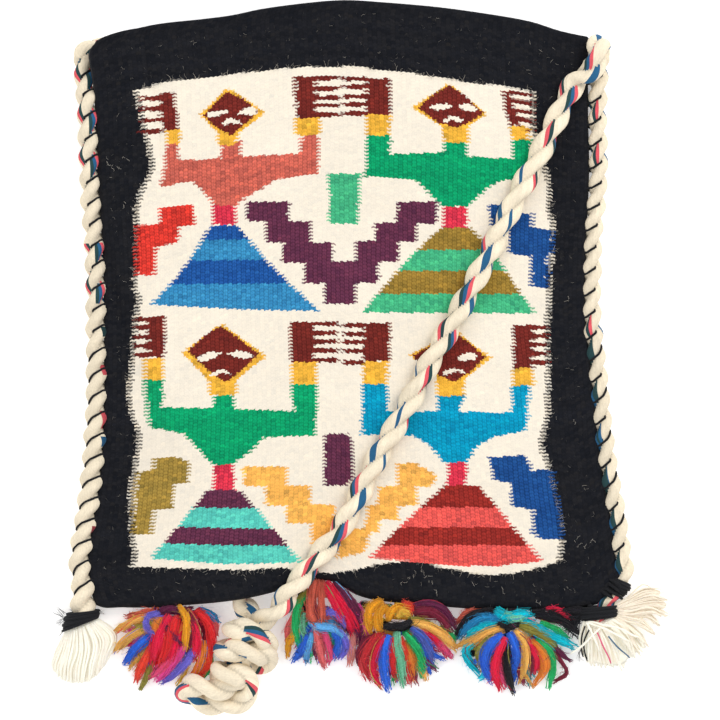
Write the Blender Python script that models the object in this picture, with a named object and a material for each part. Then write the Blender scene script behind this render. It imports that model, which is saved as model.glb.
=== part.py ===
"""Woven wool shoulder bag lying flat on its back: one folded cloth open at the top, twisted
cotton ropes whipped to both sides, bound rope tassels at the lower corners, four yarn
pompoms along the bottom fold and a long rope strap laid loosely over and under the bag.

Frame: metres, +X to the bag's right side as seen from the front, +Y towards the mouth,
+Z up out of the front face, floor at z = 0.  Outlines are drawn in units of UNIT_MM,
x to the right and y downwards, and turned into the frame by place()."""

import math

import bmesh
import bpy
from mathutils import Vector

# ---------------------------------------------------------------- driving dimensions (mm)
UNIT_MM = 0.55  # one drawing unit
CENTRE_X = 358.844  # drawing x of the frame's origin
CENTRE_Y = 348.415  # drawing y of the frame's origin

CLOTH_T = 3.2  # thickness of the woven cloth
EDGE_LOW = 3.1  # underside of the sewn side edges above the floor
EDGE_TOP = EDGE_LOW + 2 * CLOTH_T  # top of the sewn side edges
FOLD_TOP = 11.2  # height of the rounded bottom fold
MID_TOP = 14.8  # height of the front face in the middle
RIDGE = 13.3  # clearance height under the cloth where the strap runs beneath it
RIDGE_HALF = 24.0  # half width of that raised strip
FRONT_SWELL = 8.0  # how much the front face swells over the strip
FRONT_SWELL_HALF = 48.0
CAVITY_SIDE = 5.2  # width of the closed seam at each side
CAVITY_FOLD = 3.4  # cloth thickness at the fold

ROPE_R = 5.2  # side rope, to the outside of its strands
SIDE_ROPE_Z = 6.8  # side rope axis above the floor
THREAD_R = 0.4  # black sewing thread
THREAD_GAP = 0.45
STITCH_PITCH = 11.8  # spacing of the whip stitches
ROPE_TO_EDGE = 6.75  # side rope axis to the cloth edge

STRAP_R = 5.8  # free strap rope
STRAP_TURN = 7.5  # radius of the turn over the right corner
STRAP_LIE = 0.45  # strap's clearance over the cloth
BACK_RUN_Z = 6.1  # strap axis where it lies on the floor

# ---------------------------------------------------------------- outlines (drawing units)
LEFT = [(45, 95), (110, 98), (200, 101), (260, 105), (330, 106), (400, 106), (450, 104),
        (490, 100), (530, 94), (560, 89.5), (582, 92), (603, 99)]
RIGHT = [(39, 590), (100, 586), (170, 587), (250, 584), (320, 583.5), (360, 588),
         (400, 592), (440, 596), (480, 602), (520, 609), (560, 614), (575, 616), (588, 612)]
TOP = [(95, 45), (108, 39), (136, 31.6), (160, 27), (203, 22), (232, 18), (263, 11.5),
       (309, 5.4), (345, 2.8), (383, 5.0), (435, 9.5), (477, 15), (530, 24), (560, 33),
       (590, 39)]
BOTTOM = [(99, 603), (110, 607), (155, 608), (189, 605), (224, 601), (250, 597),
          (290, 588), (318, 581), (334, 582.5), (356, 595), (378, 601), (430, 606),
          (483, 610), (535, 611), (562, 610), (577, 608.5), (590, 604.5), (602, 597), (612, 588)]
BACK_RUN = [(95.5, 46.5), (104.3, 50.2), (108, 59), (111, 76), (121, 115), (143, 205),
            (167, 302), (191, 400), (215, 498), (231, 563), (240, 599)]
STRAP_FRONT = [(577, 80), (566, 99), (553.5, 125), (543, 147), (532, 168), (520.5, 189), (510, 210),
               (500, 231), (489.5, 252.5), (478.5, 273.6), (467, 295), (455, 318), (442, 341),
               (429.5, 363), (418, 385), (407, 406), (395, 427), (382.5, 448), (371, 469),
               (361, 490), (350.5, 511), (338, 532), (323, 550), (309, 567), (297, 582)]


def interp(table, t):
    """Smooth curve through (t, value) pairs."""
    if t <= table[0][0]:
        return table[0][1]
    if t >= table[-1][0]:
        return table[-1][1]
    i = max(k for k in range(len(table) - 1) if table[k][0] <= t)

    def slope(k):
        if k == 0 or k == len(table) - 1:
            a, b = (0, 1) if k == 0 else (k - 1, k)
        else:
            a, b = k - 1, k + 1
        return (table[b][1] - table[a][1]) / (table[b][0] - table[a][0])

    (t0, p0), (t1, p1) = table[i], table[i + 1]
    h = t1 - t0
    s = (t - t0) / h
    return ((2 * s ** 3 - 3 * s ** 2 + 1) * p0 + (s ** 3 - 2 * s ** 2 + s) * h * slope(i)
            + (3 * s ** 2 - 2 * s ** 3) * p1 + (s ** 3 - s ** 2) * h * slope(i + 1))


def smoothstep(lo, hi, t):
    s = min(max((t - lo) / (hi - lo), 0.0), 1.0)
    return s * s * (3 - 2 * s)


def soft_max(a, b):
    a, b = max(a, 0.0), max(b, 0.0)
    return (a ** 6 + b ** 6) ** (1 / 6)


def place(x, y, z_mm):
    return Vector(((x - CENTRE_X) * UNIT_MM, (CENTRE_Y - y) * UNIT_MM, z_mm)) * 0.001


def back_run_distance(x, y):
    """Distance (mm) in plan from the strap that runs beneath the bag."""
    best = 1e9
    for (ax, ay), (bx, by) in zip(BACK_RUN, BACK_RUN[1:]):
        dx, dy = bx - ax, by - ay
        s = min(max(((x - ax) * dx + (y - ay) * dy) / (dx * dx + dy * dy), 0.0), 1.0)
        best = min(best, math.hypot(x - ax - s * dx, y - ay - s * dy))
    return best * UNIT_MM


def cloth_heights(x, y):
    """(underside, front face) of the bag in mm at a drawing point, before its edges round off."""
    side = min(x - interp(LEFT, y), interp(RIGHT, y) - x) * UNIT_MM
    fold = (interp(BOTTOM, x) - y) * UNIT_MM
    d = back_run_distance(x, y)
    ridge = RIDGE * math.exp(-((d / RIDGE_HALF) ** 4))
    low = soft_max(EDGE_LOW * (1 - smoothstep(0, 26, side)), ridge)
    a = smoothstep(-2, 46, side)
    mid = FOLD_TOP + (MID_TOP - FOLD_TOP) * smoothstep(0, 60, fold)
    mid += FRONT_SWELL * math.exp(-((d / FRONT_SWELL_HALF) ** 2))
    mid += 0.7 * math.sin(x / 47.0 + 0.6) * math.sin(y / 61.0)
    top = EDGE_TOP * (1 - a) + mid * a
    least = low + 2 * CLOTH_T + 3.0 * smoothstep(2, 20, side)
    return low, max(top, least)


def bag_point(u, v):
    """Drawing point of the four-sided outline patch: u left to right, v fold to mouth."""
    bx = 99 + (612 - 99) * u
    tx = 95 + (590 - 95) * u
    ly = 603 + (45 - 603) * v
    ry = 588 + (39 - 588) * v
    bot = (bx, interp(BOTTOM, bx))
    top = (tx, interp(TOP, tx))
    lef = (interp(LEFT, ly), ly)
    rig = (interp(RIGHT, ry), ry)
    out = []
    corners = ((99, 603), (612, 588), (95, 45), (590, 39))
    for k in range(2):
        corner = ((1 - u) * (1 - v) * corners[0][k] + u * (1 - v) * corners[1][k]
                  + (1 - u) * v * corners[2][k] + u * v * corners[3][k])
        out.append((1 - v) * bot[k] + v * top[k] + (1 - u) * lef[k] + u * rig[k] - corner)
    return out


# ---------------------------------------------------------------- scene helpers
def clear_scene():
    for obj in list(bpy.data.objects):
        bpy.data.objects.remove(obj, do_unlink=True)


def material(name, colour, rough=0.9):
    mat = bpy.data.materials.new(name)
    mat.use_nodes = True
    shader = mat.node_tree.nodes["Principled BSDF"]
    shader.inputs["Base Color"].default_value = (*colour, 1)
    shader.inputs["Roughness"].default_value = rough
    mat.diffuse_color = (*colour, 1)
    return mat


def add_mesh(name, verts, faces, mat):
    mesh = bpy.data.meshes.new(name)
    mesh.from_pydata([tuple(v) for v in verts], [], faces)
    bm = bmesh.new()
    bm.from_mesh(mesh)
    bmesh.ops.recalc_face_normals(bm, faces=bm.faces)
    bm.to_mesh(mesh)
    bm.free()
    mesh.materials.append(mat)
    obj = bpy.data.objects.new(name, mesh)
    PARTS.objects.link(obj)
    return obj


def add_tube(name, points, radius_mm, mat, resolution=2):
    curve = bpy.data.curves.new(name, "CURVE")
    curve.dimensions = "3D"
    curve.bevel_depth = radius_mm * 0.001
    curve.bevel_resolution = resolution
    curve.use_fill_caps = True
    spline = curve.splines.new("POLY")
    spline.points.add(len(points) - 1)
    for target, p in zip(spline.points, points):
        target.co = (*p, 1)
    curve.materials.append(mat)
    obj = bpy.data.objects.new(name, curve)
    PARTS.objects.link(obj)
    return obj


def add_loft(name, rings, count, mat, lobes=0, lobe_depth=0.0):
    """Closed body through elliptical rings: (centre, side direction, half width, up, half height)."""
    verts, faces = [], []
    for r, (c, side, a, up, b) in enumerate(rings):
        for k in range(count):
            t = 2 * math.pi * k / count
            f = 1.0 + (lobe_depth * math.sin(lobes * t + 1.3 * r) if 0 < r < len(rings) - 1 else 0)
            verts.append(c + side * (a * f * math.cos(t)) + up * (b * f * math.sin(t)))
    for r in range(len(rings) - 1):
        for k in range(count):
            k2 = (k + 1) % count
            faces.append((r * count + k, r * count + k2, (r + 1) * count + k2, (r + 1) * count + k))
    first, last = len(verts), len(verts) + 1
    verts += [rings[0][0], rings[-1][0]]
    end = (len(rings) - 1) * count
    for k in range(count):
        k2 = (k + 1) % count
        faces.append((first, k2, k))
        faces.append((last, end + k, end + k2))
    return add_mesh(name, verts, faces, mat)


def add_collar(name, centre, axis, side, outer_a, outer_b, inner, length, mat, count=18):
    """Ring of wound thread: an elliptical crowned band with a round hole, all in metres."""
    up = axis.cross(side).normalized()
    profile = [(-0.5, None), (-0.5, 0.82), (-0.3, 0.97), (0.0, 1.0), (0.3, 0.97), (0.5, 0.82), (0.5, None)]
    verts, faces = [], []
    for pos, share in profile:
        for k in range(count):
            t = 2 * math.pi * k / count
            a, b = (inner, inner) if share is None else (outer_a * share, outer_b * share)
            verts.append(centre + axis * (pos * length) + side * (a * math.cos(t)) + up * (b * math.sin(t)))
    rows = len(profile)
    for r in range(rows):
        for k in range(count):
            k2, r2 = (k + 1) % count, (r + 1) % rows
            faces.append((r * count + k, r * count + k2, r2 * count + k2, r2 * count + k))
    return add_mesh(name, verts, faces, mat)


def smooth_path(points, steps):
    """Evenly refined path through control points."""
    out = []
    n = len(points)
    for i in range(n - 1):
        p0, p1, p2, p3 = points[max(i - 1, 0)], points[i], points[i + 1], points[min(i + 2, n - 1)]
        for s in range(steps):
            t = s / steps
            out.append(0.5 * ((2 * p1) + (p2 - p0) * t + (2 * p0 - 5 * p1 + 4 * p2 - p3) * t * t
                              + (3 * p1 - p0 - 3 * p2 + p3) * t ** 3))
    out.append(points[-1].copy())
    return out


def spaced(points, step):
    """The same path with points at an even spacing."""
    lengths = [0.0]
    for a, b in zip(points, points[1:]):
        lengths.append(lengths[-1] + (b - a).length)
    count = max(2, round(lengths[-1] / step) + 1)
    out, j = [], 0
    for k in range(count):
        want = lengths[-1] * k / (count - 1)
        while j < len(points) - 2 and lengths[j + 1] < want:
            j += 1
        span = lengths[j + 1] - lengths[j]
        out.append(points[j].lerp(points[j + 1], (want - lengths[j]) / span if span > 0 else 0.0))
    return out


clear_scene()
PARTS = bpy.data.collections.new("folk_shoulder_bag")
bpy.context.scene.collection.children.link(PARTS)

WOOL_BLACK = material("black_wool_cloth", (0.018, 0.019, 0.022))
ROPE_CREAM = material("cream_cotton_rope", (0.80, 0.74, 0.60))
STRAP_CREAM = material("cream_cotton_strap", (0.82, 0.76, 0.62))
THREAD_BLACK = material("black_cotton_thread", (0.02, 0.02, 0.022))
TASSEL_CREAM = material("cream_cotton_strands", (0.86, 0.81, 0.69))
POM_COLOURS = [(0.62, 0.06, 0.12), (0.30, 0.10, 0.28), (0.55, 0.09, 0.07), (0.05, 0.24, 0.45)]
TIE_COLOURS = [(0.60, 0.28, 0.04), (0.35, 0.04, 0.08), (0.55, 0.30, 0.03), (0.02, 0.02, 0.025)]

# ---------------------------------------------------------------- folded cloth
WIDTH_MM = 286.0
HEIGHT_MM = 320.0
side_steps = [0.0, 0.7, 2.4, CAVITY_SIDE, 9.0, 15.0, 24.0]
middle = [24.0 + (WIDTH_MM - 48.0) * k / 20 for k in range(1, 20)]
columns = [s / WIDTH_MM for s in side_steps + middle] + [1 - s / WIDTH_MM for s in reversed(side_steps)]
outer_rows = [r / HEIGHT_MM for r in (0.0, 0.7, 2.6, 5.6, 11.0, 19.0)]
outer_rows += [(19.0 + (HEIGHT_MM - 19.0) * k / 21) / HEIGHT_MM for k in range(1, 22)]
inner_rows = [r / HEIGHT_MM for r in (CAVITY_FOLD, 4.3, 6.4, 11.0, 19.0)]
inner_rows += [(19.0 + (HEIGHT_MM - 19.0) * k / 21) / HEIGHT_MM for k in range(1, 22)]
SEAM = side_steps.index(CAVITY_SIDE)


def edge_round(distance, radius):
    return math.sqrt(max(0.0, 1 - (1 - min(distance / radius, 1.0)) ** 2))


def bag_cloth():
    verts, faces = [], []

    def add(x, y, z):
        verts.append(place(x, y, z))
        return len(verts) - 1

    n, m = len(columns), len(outer_rows)
    low_id, top_id = {}, {}
    for i, u in enumerate(columns):
        for j, v in enumerate(outer_rows):
            x, y = bag_point(u, v)
            low, top = cloth_heights(x, y)
            mid, half = (low + top) / 2, (top - low) / 2
            side = min(u, 1 - u) * WIDTH_MM
            f = edge_round(side, CLOTH_T) * edge_round(v * HEIGHT_MM, 5.6)
            if i in (0, n - 1) or j == 0:
                low_id[i, j] = top_id[i, j] = add(x, y, mid)
            else:
                low_id[i, j] = add(x, y, mid - half * f)
                top_id[i, j] = add(x, y, mid + half * f)
    for i in range(n - 1):
        for j in range(m - 1):
            for ids, flip in ((top_id, False), (low_id, True)):
                loop = [ids[i, j], ids[i + 1, j], ids[i + 1, j + 1], ids[i, j + 1]]
                face = list(dict.fromkeys(loop))
                faces.append(face[::-1] if flip else face)
    first, last = SEAM, n - 1 - SEAM
    rows = len(inner_rows)
    in_low, in_top = {}, {}
    for i in range(first, last + 1):
        for j, v in enumerate(inner_rows):
            x, y = bag_point(columns[i], v)
            low, top = cloth_heights(x, y)
            mid, half = (low + top) / 2, (top - low) / 2 - CLOTH_T
            f = edge_round((v * HEIGHT_MM) - CAVITY_FOLD, 3.0)
            if i in (first, last) or j == 0:
                in_low[i, j] = in_top[i, j] = add(x, y, mid)
            else:
                in_low[i, j] = add(x, y, mid - half * f)
                in_top[i, j] = add(x, y, mid + half * f)
    for i in range(first, last):
        for j in range(rows - 1):
            for ids, flip in ((in_top, True), (in_low, False)):
                loop = [ids[i, j], ids[i + 1, j], ids[i + 1, j + 1], ids[i, j + 1]]
                face = list(dict.fromkeys(loop))
                faces.append(face[::-1] if flip else face)
    a, b = m - 1, rows - 1
    for i in range(first, last):
        faces.append((top_id[i, a], top_id[i + 1, a], in_top[i + 1, b], in_top[i, b]))
        faces.append((in_low[i, b], in_low[i + 1, b], low_id[i + 1, a], low_id[i, a]))
    for i in range(first):
        for ids in (top_id, low_id):
            faces.append((ids[i, a], ids[i + 1, a], in_top[first, b]))
    for i in range(last, n - 1):
        for ids in (top_id, low_id):
            faces.append((ids[i, a], ids[i + 1, a], in_top[last, b]))
    faces = [list(dict.fromkeys(f)) for f in faces]
    return add_mesh("bag_cloth", verts, [f for f in faces if len(f) > 2], WOOL_BLACK)


bag_cloth()


# ---------------------------------------------------------------- side ropes and their whip stitches
LEFT_TOP, RIGHT_TOP = 64.0, 62.0


def edge_height(x, y):
    low, top = cloth_heights(x, y)
    return (low + top) / 2


def rope_axis(side, y):
    """Axis point (drawing x, height in mm) of a side rope beside the cloth edge."""
    table, sign = (LEFT, -1) if side == "left" else (RIGHT, 1)
    edge = interp(table, y)
    height = max(SIDE_ROPE_Z, edge_height(edge, y) - 0.3)
    if side == "left":  # near the mouth this rope runs down to the floor, to turn beneath the corner
        height += (BACK_RUN_Z - height) * (1 - smoothstep(LEFT_TOP + 3, LEFT_TOP + 50, y))
    return edge + sign * ROPE_TO_EDGE / UNIT_MM, height


def side_rope(side, top_y, low_y, tail):
    points = []
    steps = 26
    for k in range(steps + 1):
        y = top_y + (low_y - top_y) * k / steps
        x, z = rope_axis(side, y)
        points.append(place(x, y, z))
    path = smooth_path(points + [place(*p) for p in tail], 3)
    return spaced(path, 0.0105)


left_axis = side_rope("left", LEFT_TOP, 585, [(80.5, 597, 7.2), (81, 608, 7.3), (81.3, 619.6, 7.3)])
right_axis = side_rope("right", RIGHT_TOP, 573, [(627, 585, 6.9), (620, 597, 7.0), (610.5, 606.5, 7.2), (604, 612.5, 7.3),
                                             (600.4, 619.6, 7.3)])
add_tube("side_rope_left", left_axis, ROPE_R, ROPE_CREAM, resolution=2)
add_tube("side_rope_right", right_axis, ROPE_R, ROPE_CREAM, resolution=2)


def whip_stitches(name, axis, skip_start, skip_end):
    """One thread wound round a side rope, a turn for each stitch."""
    dense = spaced(smooth_path(axis, 4), 0.001)
    total = len(dense) - 1
    start, stop = skip_start, total - skip_end
    turn_points = 12
    count = int((stop - start) / STITCH_PITCH * turn_points)
    radius = (ROPE_R + THREAD_GAP + THREAD_R) * 0.001
    up = Vector((0, 0, 1))
    points = []
    for k in range(count + 1):
        s = start + (stop - start) * k / count
        i = min(int(s), total - 1)
        c = dense[i].lerp(dense[i + 1], s - i)
        along = (dense[min(i + 4, total)] - dense[max(i - 4, 0)]).normalized()
        side = along.cross(up).normalized()
        over = side.cross(along)
        t = 2 * math.pi * k / turn_points
        points.append(c + (side * math.cos(t) + over * math.sin(t)) * radius)
    return add_tube(name, points, THREAD_R, THREAD_BLACK, resolution=0)


whip_stitches("stitching_left", left_axis, 12, 26)
whip_stitches("stitching_right", right_axis, 14, 34)

# ---------------------------------------------------------------- bound rope ends
UP = Vector((0, 0, 1))


def heading(dx, dy):
    """Unit direction in the plane of the floor from a drawing direction."""
    return Vector((dx, -dy, 0)).normalized()


left_bind = place(81.3, 619.8, 7.3)
add_collar("binding_left", left_bind, heading(0, 1), heading(1, 0), 0.0104, 0.0071, 0.0057, 0.0105, THREAD_BLACK)
right_bind = place(600.2, 620.0, 7.3)
rope_end = (right_axis[-1] - right_axis[-2]).normalized()
rope_end = Vector((rope_end.x, rope_end.y, 0)).normalized()
add_collar("binding_right", right_bind, rope_end, Vector((-rope_end.y, rope_end.x, 0)), 0.0098, 0.0071, 0.0059, 0.0085,
           THREAD_BLACK)
LOBE_DEPTH = 0.05


def flat_rings(path, across=(1, 0)):
    """Rings of a body lying on the floor: (drawing x, y, half width, half height mm, least axis height mm, across)."""
    rings = []
    for x, y, w, h, z, *own in path:
        z = max(z, h * (1 + LOBE_DEPTH) + 0.1)
        rings.append((place(x, y, z), heading(*(own[0] if own else across)), w * UNIT_MM * 0.001, UP, h * 0.001))
    return rings


add_loft("tassel_left", flat_rings([
    (81.3, 620.8, 9.0, 4.9, 7.3), (81.6, 629.4, 9.4, 5.0, 7.3), (82, 632.5, 15, 6.2, 7.0), (84, 642, 25, 7.0, 7.2),
    (84, 653, 30, 7.1, 7.3), (81.5, 664, 29, 6.6, 6.8), (78, 674, 23, 5.2, 5.4), (75.5, 680.2, 11, 3.0, 3.4)]),
    18, TASSEL_CREAM, 9, 0.03)


def add_mound(name, outline, mid, top, belly, floor, mat, ripple=0.0, period=23.0):
    """Closed cushion over a drawn outline: domed above its widest height (belly), flatter below."""
    verts, faces = [], []
    shares = [0.25, 0.5, 0.72, 0.88, 0.97, 1.0, 0.97, 0.86, 0.6]
    count = len(outline)
    for r, share in enumerate(shares):
        dome = math.sqrt(max(0.0, 1 - share ** 3))
        for x, y in outline:
            px = mid[0] + (x - mid[0]) * share
            py = mid[1] + (y - mid[1]) * share
            if r < 5:
                z = belly + (top - belly) * dome + ripple * math.cos(2 * math.pi * (py - 632) / period) * dome
            else:
                z = belly - (belly - floor) * dome
            verts.append(place(px, py, z))
    for r in range(len(shares) - 1):
        for k in range(count):
            k2 = (k + 1) % count
            faces.append((r * count + k, r * count + k2, (r + 1) * count + k2, (r + 1) * count + k))
    verts += [place(*mid, top), place(*mid, floor)]
    last = (len(shares) - 1) * count
    for k in range(count):
        k2 = (k + 1) % count
        faces.append((len(verts) - 2, k2, k))
        faces.append((len(verts) - 1, last + k, last + k2))
    return add_mesh(name, verts, faces, mat)


FAN = [(583, 622), (590, 626.5), (600, 634), (609, 641), (614, 640.5), (620.5, 631), (626, 617), (635, 607), (646, 601),
       (658, 603),
       (665, 613), (665, 628), (659, 642), (648, 655), (634, 667), (612, 671), (594, 669), (584, 660), (581, 642)]
add_mound("tassel_right", FAN, (616, 650), 12.6, 5.4, 0.3, TASSEL_CREAM)

# ---------------------------------------------------------------- yarn pompoms tied to the bottom fold
POM_SHAPES = [
    (157, [(157, 626.5, 10, 5.4, 7.6), (158.5, 631, 29, 9, 9.4), (161, 643, 42, 11.4, 12), (161, 658, 43, 11.8, 12),
           (160, 672, 35, 9.6, 10), (160, 681, 28, 7.5, 7), (160, 687, 17, 4.5, 3.4)]),
    (320, [(320, 600, 10, 5.4, 7.6), (320, 604.5, 21, 9, 9.4), (319, 615, 29, 11.4, 12), (318, 630, 31, 11.8, 12),
           (318, 645, 29, 10.5, 11), (318, 658, 23, 7.5, 7.4), (318, 666, 14, 4.5, 3.5)]),
    (400, [(400.5, 622, 10, 5.4, 7.6), (402, 627, 27, 9, 9.4), (404, 638, 44, 11.8, 12), (405, 655, 47, 12, 12.2),
           (405, 670, 40, 10, 10.3), (404, 682, 30, 7.5, 7), (403, 689.5, 18, 4.5, 3.4)]),
    (511, [(511, 629.5, 10, 5.4, 7.6), (511, 634, 29, 9, 9.4), (511.5, 645, 48, 11.8, 12), (512, 660, 51, 12, 12.2),
           (512, 674, 43, 10, 10.3), (512, 686, 31, 7.5, 7), (512, 694, 19, 4.5, 3.4)]),
]
for number, (x, body) in enumerate(POM_SHAPES, 1):
    y0 = max(interp(BOTTOM, x + d) for d in (-9, -5, 0, 5, 9)) + 1.4
    low, top = cloth_heights(x, interp(BOTTOM, x))
    z0 = (low + top) / 2
    yarn = material(f"pompom_yarn_{number}", POM_COLOURS[number - 1])
    tie = material(f"pompom_tie_{number}", TIE_COLOURS[number - 1])
    neck_rings = [(x, y0, 4.5, 2.6, z0), (x, y0 + 5.5, 7.6, 4.2, 6.4), (x, y0 + 12, 8.0, 4.4, 7.0)]
    add_loft(f"pompom_{number}", flat_rings(neck_rings + body), 18, yarn, 9, LOBE_DEPTH)
    add_collar(f"pompom_tie_{number}", place(x, y0 + 9, 6.9), heading(0, 1), heading(1, 0), 0.0067, 0.0066, 0.0050,
               0.0042, tie, 14)

# ---------------------------------------------------------------- free strap
# over the right corner and down across the front
turn_y = RIGHT_TOP - 3.4
rope_x, rope_z = rope_axis("right", RIGHT_TOP)
front = [place(rope_x, RIGHT_TOP - 1.6, rope_z)]
for k in range(7):
    t = math.pi * k / 6
    front.append(place(rope_x - 3.4 * k / 6, turn_y - STRAP_TURN / UNIT_MM * math.sin(t),
                       rope_z + STRAP_TURN * (1 - math.cos(t))))
front.append(place(591, 71, 20.6))
lie = [place(x, y, cloth_heights(x, y)[1] + STRAP_R + STRAP_LIE) for x, y in STRAP_FRONT]
fold_z = lie[-1].z * 1000
run = spaced(smooth_path([front[-1]] + lie + [place(288, 592, fold_z - 0.3), place(280.5, 601.5, 20.5)], 4), 0.0135)
add_tube("strap_front", front + run[1:], STRAP_R, STRAP_CREAM, resolution=2)

# from the left corner down beneath the bag
rope_x, rope_z = rope_axis("left", LEFT_TOP)
turn_r = (BACK_RUN[2][0] - rope_x) / 2
turn = [place(rope_x, LEFT_TOP - 3.0, BACK_RUN_Z)]
turn += [place(rope_x + turn_r * (1 - math.cos(math.pi * k / 6)), LEFT_TOP - 5.2 - turn_r * math.sin(math.pi * k / 6),
               BACK_RUN_Z) for k in range(7)]
under = [place(x, y, BACK_RUN_Z) for x, y in BACK_RUN[3:]] + [place(241.3, 603.6, BACK_RUN_Z)]
add_tube("strap_back", turn + spaced(smooth_path([turn[-1]] + under, 4), 0.0135)[1:], STRAP_R, STRAP_CREAM, resolution=2)

# the spare length gathered into a loose knot below the fold
BUNDLE = [(237, 608), (250, 606.5), (264, 607), (276, 611), (283, 622), (283, 640), (276, 656), (264, 680), (253, 699),
          (233, 714), (208, 713), (190, 705), (181, 692), (195, 681), (210, 668), (213, 650), (213, 632), (224, 619)]
BUNDLE_MID = (238, 655)
BUNDLE_TOP = 27.0


add_mound("strap_bundle", BUNDLE, BUNDLE_MID, BUNDLE_TOP, 9.0, 0.3, STRAP_CREAM, 1.1)
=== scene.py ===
"""Looks of a woven wool shoulder bag lying flat on its back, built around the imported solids.

Weave, ropes, stitches, tassels and pompoms are real geometry.  Lengths inside this file are millimetres unless a
name says otherwise.  Outlines are drawn in units of UNIT_MM, x to the right and y downwards, and turned into the
model's frame by place()."""

import math

import bpy
import numpy as np
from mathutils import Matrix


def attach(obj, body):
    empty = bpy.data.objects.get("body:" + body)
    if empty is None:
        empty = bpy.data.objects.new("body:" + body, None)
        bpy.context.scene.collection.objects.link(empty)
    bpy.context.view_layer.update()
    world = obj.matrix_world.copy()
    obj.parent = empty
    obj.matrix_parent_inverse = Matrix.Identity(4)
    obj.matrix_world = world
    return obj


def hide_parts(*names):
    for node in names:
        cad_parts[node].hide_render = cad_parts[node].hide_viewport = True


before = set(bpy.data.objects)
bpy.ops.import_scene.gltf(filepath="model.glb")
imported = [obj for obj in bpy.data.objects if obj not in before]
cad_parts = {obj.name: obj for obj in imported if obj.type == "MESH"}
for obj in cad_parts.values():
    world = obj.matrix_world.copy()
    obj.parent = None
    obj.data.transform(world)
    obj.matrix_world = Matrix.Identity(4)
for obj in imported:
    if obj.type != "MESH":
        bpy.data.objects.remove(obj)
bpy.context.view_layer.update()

# ---------------------------------------------------------------- shared dimensions
UNIT_MM = 0.55
CENTRE_X, CENTRE_Y = 358.844, 348.415
CLOTH_T = 3.2
EDGE_LOW = 3.1
EDGE_TOP = EDGE_LOW + 2 * CLOTH_T
FOLD_TOP, MID_TOP = 11.2, 14.8
RIDGE, RIDGE_HALF = 13.3, 24.0
FRONT_SWELL, FRONT_SWELL_HALF = 8.0, 48.0
CAVITY_SIDE, CAVITY_FOLD = 5.2, 3.4
ROPE_R, STRAP_R = 5.2, 5.8
SIDE_ROPE_Z, BACK_RUN_Z, STRAP_TURN = 6.8, 6.1, 7.5
ROPE_TO_EDGE = 6.75
LEFT_TOP, RIGHT_TOP = 64.0, 62.0
WIDTH_MM, HEIGHT_MM = 286.0, 320.0

LEFT = [(45, 95), (110, 98), (200, 101), (260, 105), (330, 106), (400, 106), (450, 104),
        (490, 100), (530, 94), (560, 89.5), (582, 92), (603, 99)]
RIGHT = [(39, 590), (100, 586), (170, 587), (250, 584), (320, 583.5), (360, 588),
         (400, 592), (440, 596), (480, 602), (520, 609), (560, 614), (575, 616), (588, 612)]
TOP = [(95, 45), (108, 39), (136, 31.6), (160, 27), (203, 22), (232, 18), (263, 11.5),
       (309, 5.4), (345, 2.8), (383, 5.0), (435, 9.5), (477, 15), (530, 24), (560, 33),
       (590, 39)]
BOTTOM = [(99, 603), (110, 607), (155, 608), (189, 605), (224, 601), (250, 597),
          (290, 588), (318, 581), (334, 582.5), (356, 595), (378, 601), (430, 606),
          (483, 610), (535, 611), (562, 610), (577, 608.5), (590, 604.5), (602, 597), (612, 588)]
LEFT_TUCK = [(45, 0), (49, 3.6), (55, 6.2), (67, 5.4), (80, 4.0), (95, 2.8), (120, 2.6), (350, 2.6), (585, 2.6), (602, 0)]
BACK_RUN = [(95.5, 46.5), (104.3, 50.2), (108, 59), (111, 76), (121, 115), (143, 205),
            (167, 302), (191, 400), (215, 498), (231, 563), (240, 599)]
STRAP_FRONT = [(577, 80), (566, 99), (553.5, 125), (543, 147), (532, 168), (520.5, 189), (510, 210),
               (500, 231), (489.5, 252.5), (478.5, 273.6), (467, 295), (455, 318), (442, 341),
               (429.5, 363), (418, 385), (407, 406), (395, 427), (382.5, 448), (371, 469),
               (361, 490), (350.5, 511), (338, 532), (323, 550), (309, 567), (297, 582)]

rng = np.random.default_rng(20)


def interp(table, t):
    """Smooth curve through (t, value) pairs, for an array of t."""
    ts = np.array([p[0] for p in table], float)
    vs = np.array([p[1] for p in table], float)
    slopes = np.empty(len(ts))
    slopes[0] = (vs[1] - vs[0]) / (ts[1] - ts[0])
    slopes[-1] = (vs[-1] - vs[-2]) / (ts[-1] - ts[-2])
    slopes[1:-1] = (vs[2:] - vs[:-2]) / (ts[2:] - ts[:-2])
    t = np.clip(np.asarray(t, float), ts[0], ts[-1])
    i = np.clip(np.searchsorted(ts, t, side="right") - 1, 0, len(ts) - 2)
    h = ts[i + 1] - ts[i]
    s = (t - ts[i]) / h
    return ((2 * s ** 3 - 3 * s ** 2 + 1) * vs[i] + (s ** 3 - 2 * s ** 2 + s) * h * slopes[i]
            + (3 * s ** 2 - 2 * s ** 3) * vs[i + 1] + (s ** 3 - s ** 2) * h * slopes[i + 1])


def smoothstep(lo, hi, t):
    s = np.clip((np.asarray(t, float) - lo) / (hi - lo), 0.0, 1.0)
    return s * s * (3 - 2 * s)


def soft_max(a, b):
    return (np.maximum(a, 0.0) ** 6 + np.maximum(b, 0.0) ** 6) ** (1 / 6)


def place(x, y, z):
    """Millimetres in the frame from drawing units and a height."""
    x, y, z = np.broadcast_arrays(np.asarray(x, float), np.asarray(y, float), np.asarray(z, float))
    return np.stack([(x - CENTRE_X) * UNIT_MM, (CENTRE_Y - y) * UNIT_MM, z], axis=-1)


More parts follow.
